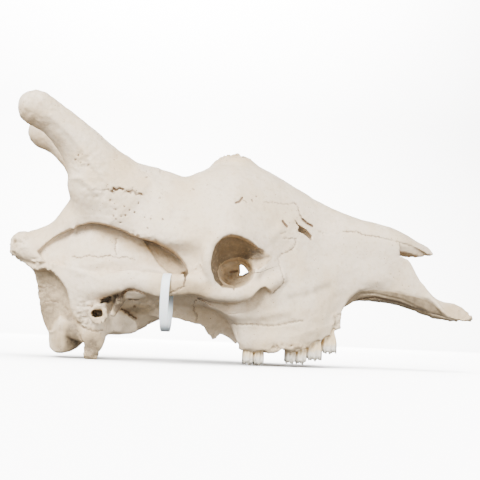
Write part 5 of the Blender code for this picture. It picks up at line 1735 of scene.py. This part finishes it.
def tooth_values(points, side):
    """How near its root each point of a row of teeth lies, and how deep in the basin worn along it."""
    x, y, z = points.T
    root, bite = np.zeros(len(points)), np.zeros(len(points))
    for name in TEETH_KEPT[side]:
        middle, length, half_width, tooth_y, gum, edge = MOLARS[name]
        here = np.abs(x - middle) < length * 0.52
        root[here] = np.clip((z[here] - edge) / (gum - edge), 0, 1.5)
        basin = 1 - np.abs(y[here] - tooth_y) / (half_width * 0.6)
        bite[here] = np.clip(basin, 0, 1) * np.clip(1.4 - (z[here] - edge) / 7, 0, 1)
    return {"root": root, "bite": bite}


def paper_sweep(looks):
    """A sheet of paper that lies on the floor and bends up behind the skull."""
    bends = [math.radians(a) for a in range(0, 91, 6)]
    bend = [(PAPER_BACK + PAPER_BEND * math.sin(a), PAPER_BEND - PAPER_BEND * math.cos(a)) for a in bends]
    outline = [(PAPER_FRONT, 0.0), *bend, (PAPER_BACK + PAPER_BEND, PAPER_TOP)]
    points = [(x, y, z) for y, z in outline for x in (-PAPER_HALF_WIDTH, PAPER_HALF_WIDTH)]
    faces = [(2 * k, 2 * k + 1, 2 * k + 3, 2 * k + 2) for k in range(len(outline) - 1)]
    data = bpy.data.meshes.new("paper_sweep")
    data.from_pydata(points, [], faces)
    data.shade_smooth()
    data.materials.append(studio_paper(looks))
    paper = bpy.data.objects.new("paper_sweep", data)
    bpy.context.scene.collection.objects.link(paper)
    # flagged off, so that the paper throws no light up under the skull
    paper.visible_diffuse = paper.visible_glossy = False
    return paper


def add_softbox(name, place, size, power, aim):
    """A soft light, aimed at a place."""
    lamp = bpy.data.lights.new(name, "AREA")
    lamp.shape, lamp.size, lamp.size_y = "RECTANGLE", *size
    lamp.energy = power
    box = bpy.data.objects.new(name, lamp)
    box.location = place
    box.rotation_mode = "QUATERNION"
    box.rotation_quaternion = (Vector(aim) - Vector(place)).to_track_quat("-Z", "Y")
    bpy.context.scene.collection.objects.link(box)
    return box


def add_photo_camera():
    """The camera at the photo's place, turned and rolled as the photo's was."""
    azimuth, elevation, roll = (math.radians(a) for a in CAMERA_ANGLES)
    level = math.cos(elevation)
    back = Vector((math.sin(azimuth) * level, -math.cos(azimuth) * level, math.sin(elevation)))
    lens = bpy.data.cameras.new("Photo camera")
    lens.sensor_width, lens.lens = 36.0, CAMERA_LENS
    lens.clip_start, lens.clip_end = 0.05, 50.0
    camera = bpy.data.objects.new("Photo camera", lens)
    camera.location = (Vector(ORIGIN) + Vector(CAMERA_AIM)) * MM + back * CAMERA_AWAY
    camera.rotation_mode = "QUATERNION"
    camera.rotation_quaternion = (-back).to_track_quat("-Z", "Y") @ Quaternion((0, 0, 1), roll)
    bpy.context.scene.collection.objects.link(camera)
    bpy.context.scene.camera = camera


class SKULL_OT_braincase(bpy.types.Operator):
    """Sculpts the back of the skull: the occiput, the braincase and the plates under it"""

    bl_idname = "skull.braincase"
    bl_label = "Add the braincase"

    def execute(self, context):
        looks = context.scene.skull_looks
        surface = bpy.data.materials.get("Dry bone") or dry_bone("Dry bone", looks, looks.warm_colour, 0.5)
        names = ("occiput", "braincase", "pterygoid_right", "pterygoid_left")
        add_bones(context, surface, dict.fromkeys(names, "bone"))
        return {"FINISHED"}


class SKULL_OT_face(bpy.types.Operator):
    """Sculpts the face: the frontal with the eye sockets, the cheek bones, the jaws and the nose"""

    bl_idname = "skull.face"
    bl_label = "Add the face"

    def execute(self, context):
        looks = context.scene.skull_looks
        surface = bpy.data.materials.get("Dry bone") or dry_bone("Dry bone", looks, looks.warm_colour, 0.5)
        names = (
            "frontal", "nasals", "cheek_bone_right", "cheek_bone_left", "premaxilla_right", "premaxilla_left",
        )  # fmt: skip
        slots = dict.fromkeys(names, "bone")
        slots |= dict.fromkeys(("maxilla_right", "maxilla_left"), "bone_and_teeth")
        add_bones(context, surface, slots)
        return {"FINISHED"}


class SKULL_OT_horns(bpy.types.Operator):
    """Sculpts the two ossicones and the knob of the middle one"""

    bl_idname = "skull.horns"
    bl_label = "Add the ossicones"

    def execute(self, context):
        looks = context.scene.skull_looks
        surface = dry_bone("Dry horn bone", looks, looks.horn_colour, 0.8)
        names = ("ossicone_right", "ossicone_left", "ossicone_median")
        add_bones(context, surface, dict.fromkeys(names, "horn_bone"))
        return {"FINISHED"}


class SKULL_OT_teeth(bpy.types.Operator):
    """Sculpts the cheek teeth that are left, one piece a side"""

    bl_idname = "skull.teeth"
    bl_label = "Add the teeth"

    def execute(self, context):
        enamel = worn_enamel(context.scene.skull_looks)
        for suffix, side in SIDES.items():
            clay = tooth_row(side, CROWN_GRAIN)
            points, quads = skin_of(clay.depth, clay.first, clay.grain)
            values = tooth_values(points, side)
            points += (0.25 * clay_noise(points, 2.4, 90))[:, None] * (0, 1, 0)
            points[:, 1] *= side
            faces = quads if side > 0 else quads[:, ::-1]
            finished(made_mesh("teeth_" + suffix, points, faces, enamel, values), "bone_and_teeth")
        return {"FINISHED"}


class SKULL_OT_tag(bpy.types.Operator):
    """Hangs the plastic tag loop over the right cheek arch"""

    bl_idname = "skull.tag"
    bl_label = "Add the tag loop"

    def execute(self, context):
        sizes = context.scene.skull_tag
        inputs = {
            "Half Depth": sizes.half_depth,
            "Half Height": sizes.half_height,
            "Width": sizes.width,
            "Thickness": sizes.thickness,
            "Squareness": sizes.squareness,
            "Narrowing": sizes.narrowing,
            "Turn": math.radians(TAG_TURN),
            "Centre": (Vector(ORIGIN) + TAG_CENTRE) * MM,
            "Material": satin_polyethylene(context.scene.skull_looks),
        }
        finished(shaped_by("tag_loop_band", tag_tree(), inputs), "tag_plastic", "tag_loop")
        return {"FINISHED"}


class SKULL_OT_stage(bpy.types.Operator):
    """Sets out the paper sweep, the soft studio lights and the camera at the photo's angle"""

    bl_idname = "skull.stage"
    bl_label = "Set the stage"

    def execute(self, context):
        looks = context.scene.skull_looks
        paper_only = bpy.data.collections.new("Paper only")
        paper_only.objects.link(paper_sweep(looks))
        world = bpy.data.worlds.new("Studio air")
        world.use_nodes = True
        world.node_tree.nodes["Background"].inputs[0].default_value = linear("#FFFFFF")
        world.node_tree.nodes["Background"].inputs[1].default_value = AIR_LIGHT * looks.light
        context.scene.world = world
        for name, place, size, power, aim in SOFTBOXES:
            add_softbox(name, place, size, power * looks.light, aim)
        for name, place, size, power, aim in PAPER_SOFTBOXES:
            box = add_softbox(name, place, size, power * looks.light, aim)
            box.light_linking.receiver_collection = paper_only
        add_photo_camera()
        return {"FINISHED"}


class SKULL_PT_panel(bpy.types.Panel):
    """Lists the skull's pieces and looks"""

    bl_idname = "SKULL_PT_panel"
    bl_label = "Giraffe skull"
    bl_space_type = "VIEW_3D"
    bl_region_type = "UI"
    bl_category = "Skull"

    def draw(self, context):
        for maker in MAKERS:
            self.layout.operator(maker.bl_idname)
        for group in (context.scene.skull_looks, context.scene.skull_tag):
            for key in group.__annotations__:
                self.layout.prop(group, key)


MAKERS = (
    SKULL_OT_braincase, SKULL_OT_face, SKULL_OT_horns, SKULL_OT_teeth, SKULL_OT_tag, SKULL_OT_stage,
)  # fmt: skip
CLASSES = (SkullLooks, TagSizes, *MAKERS, SKULL_PT_panel)


def register():
    for known in CLASSES:
        bpy.utils.register_class(known)
    bpy.types.Scene.skull_looks = PointerProperty(type=SkullLooks)
    bpy.types.Scene.skull_tag = PointerProperty(type=TagSizes)


def unregister():
    del bpy.types.Scene.skull_tag
    del bpy.types.Scene.skull_looks
    for known in reversed(CLASSES):
        bpy.utils.unregister_class(known)


def main():
    register()
    for maker in MAKERS:
        group, action = maker.bl_idname.split(".")
        getattr(getattr(bpy.ops, group), action)()


if __name__ == "__main__":
    main()
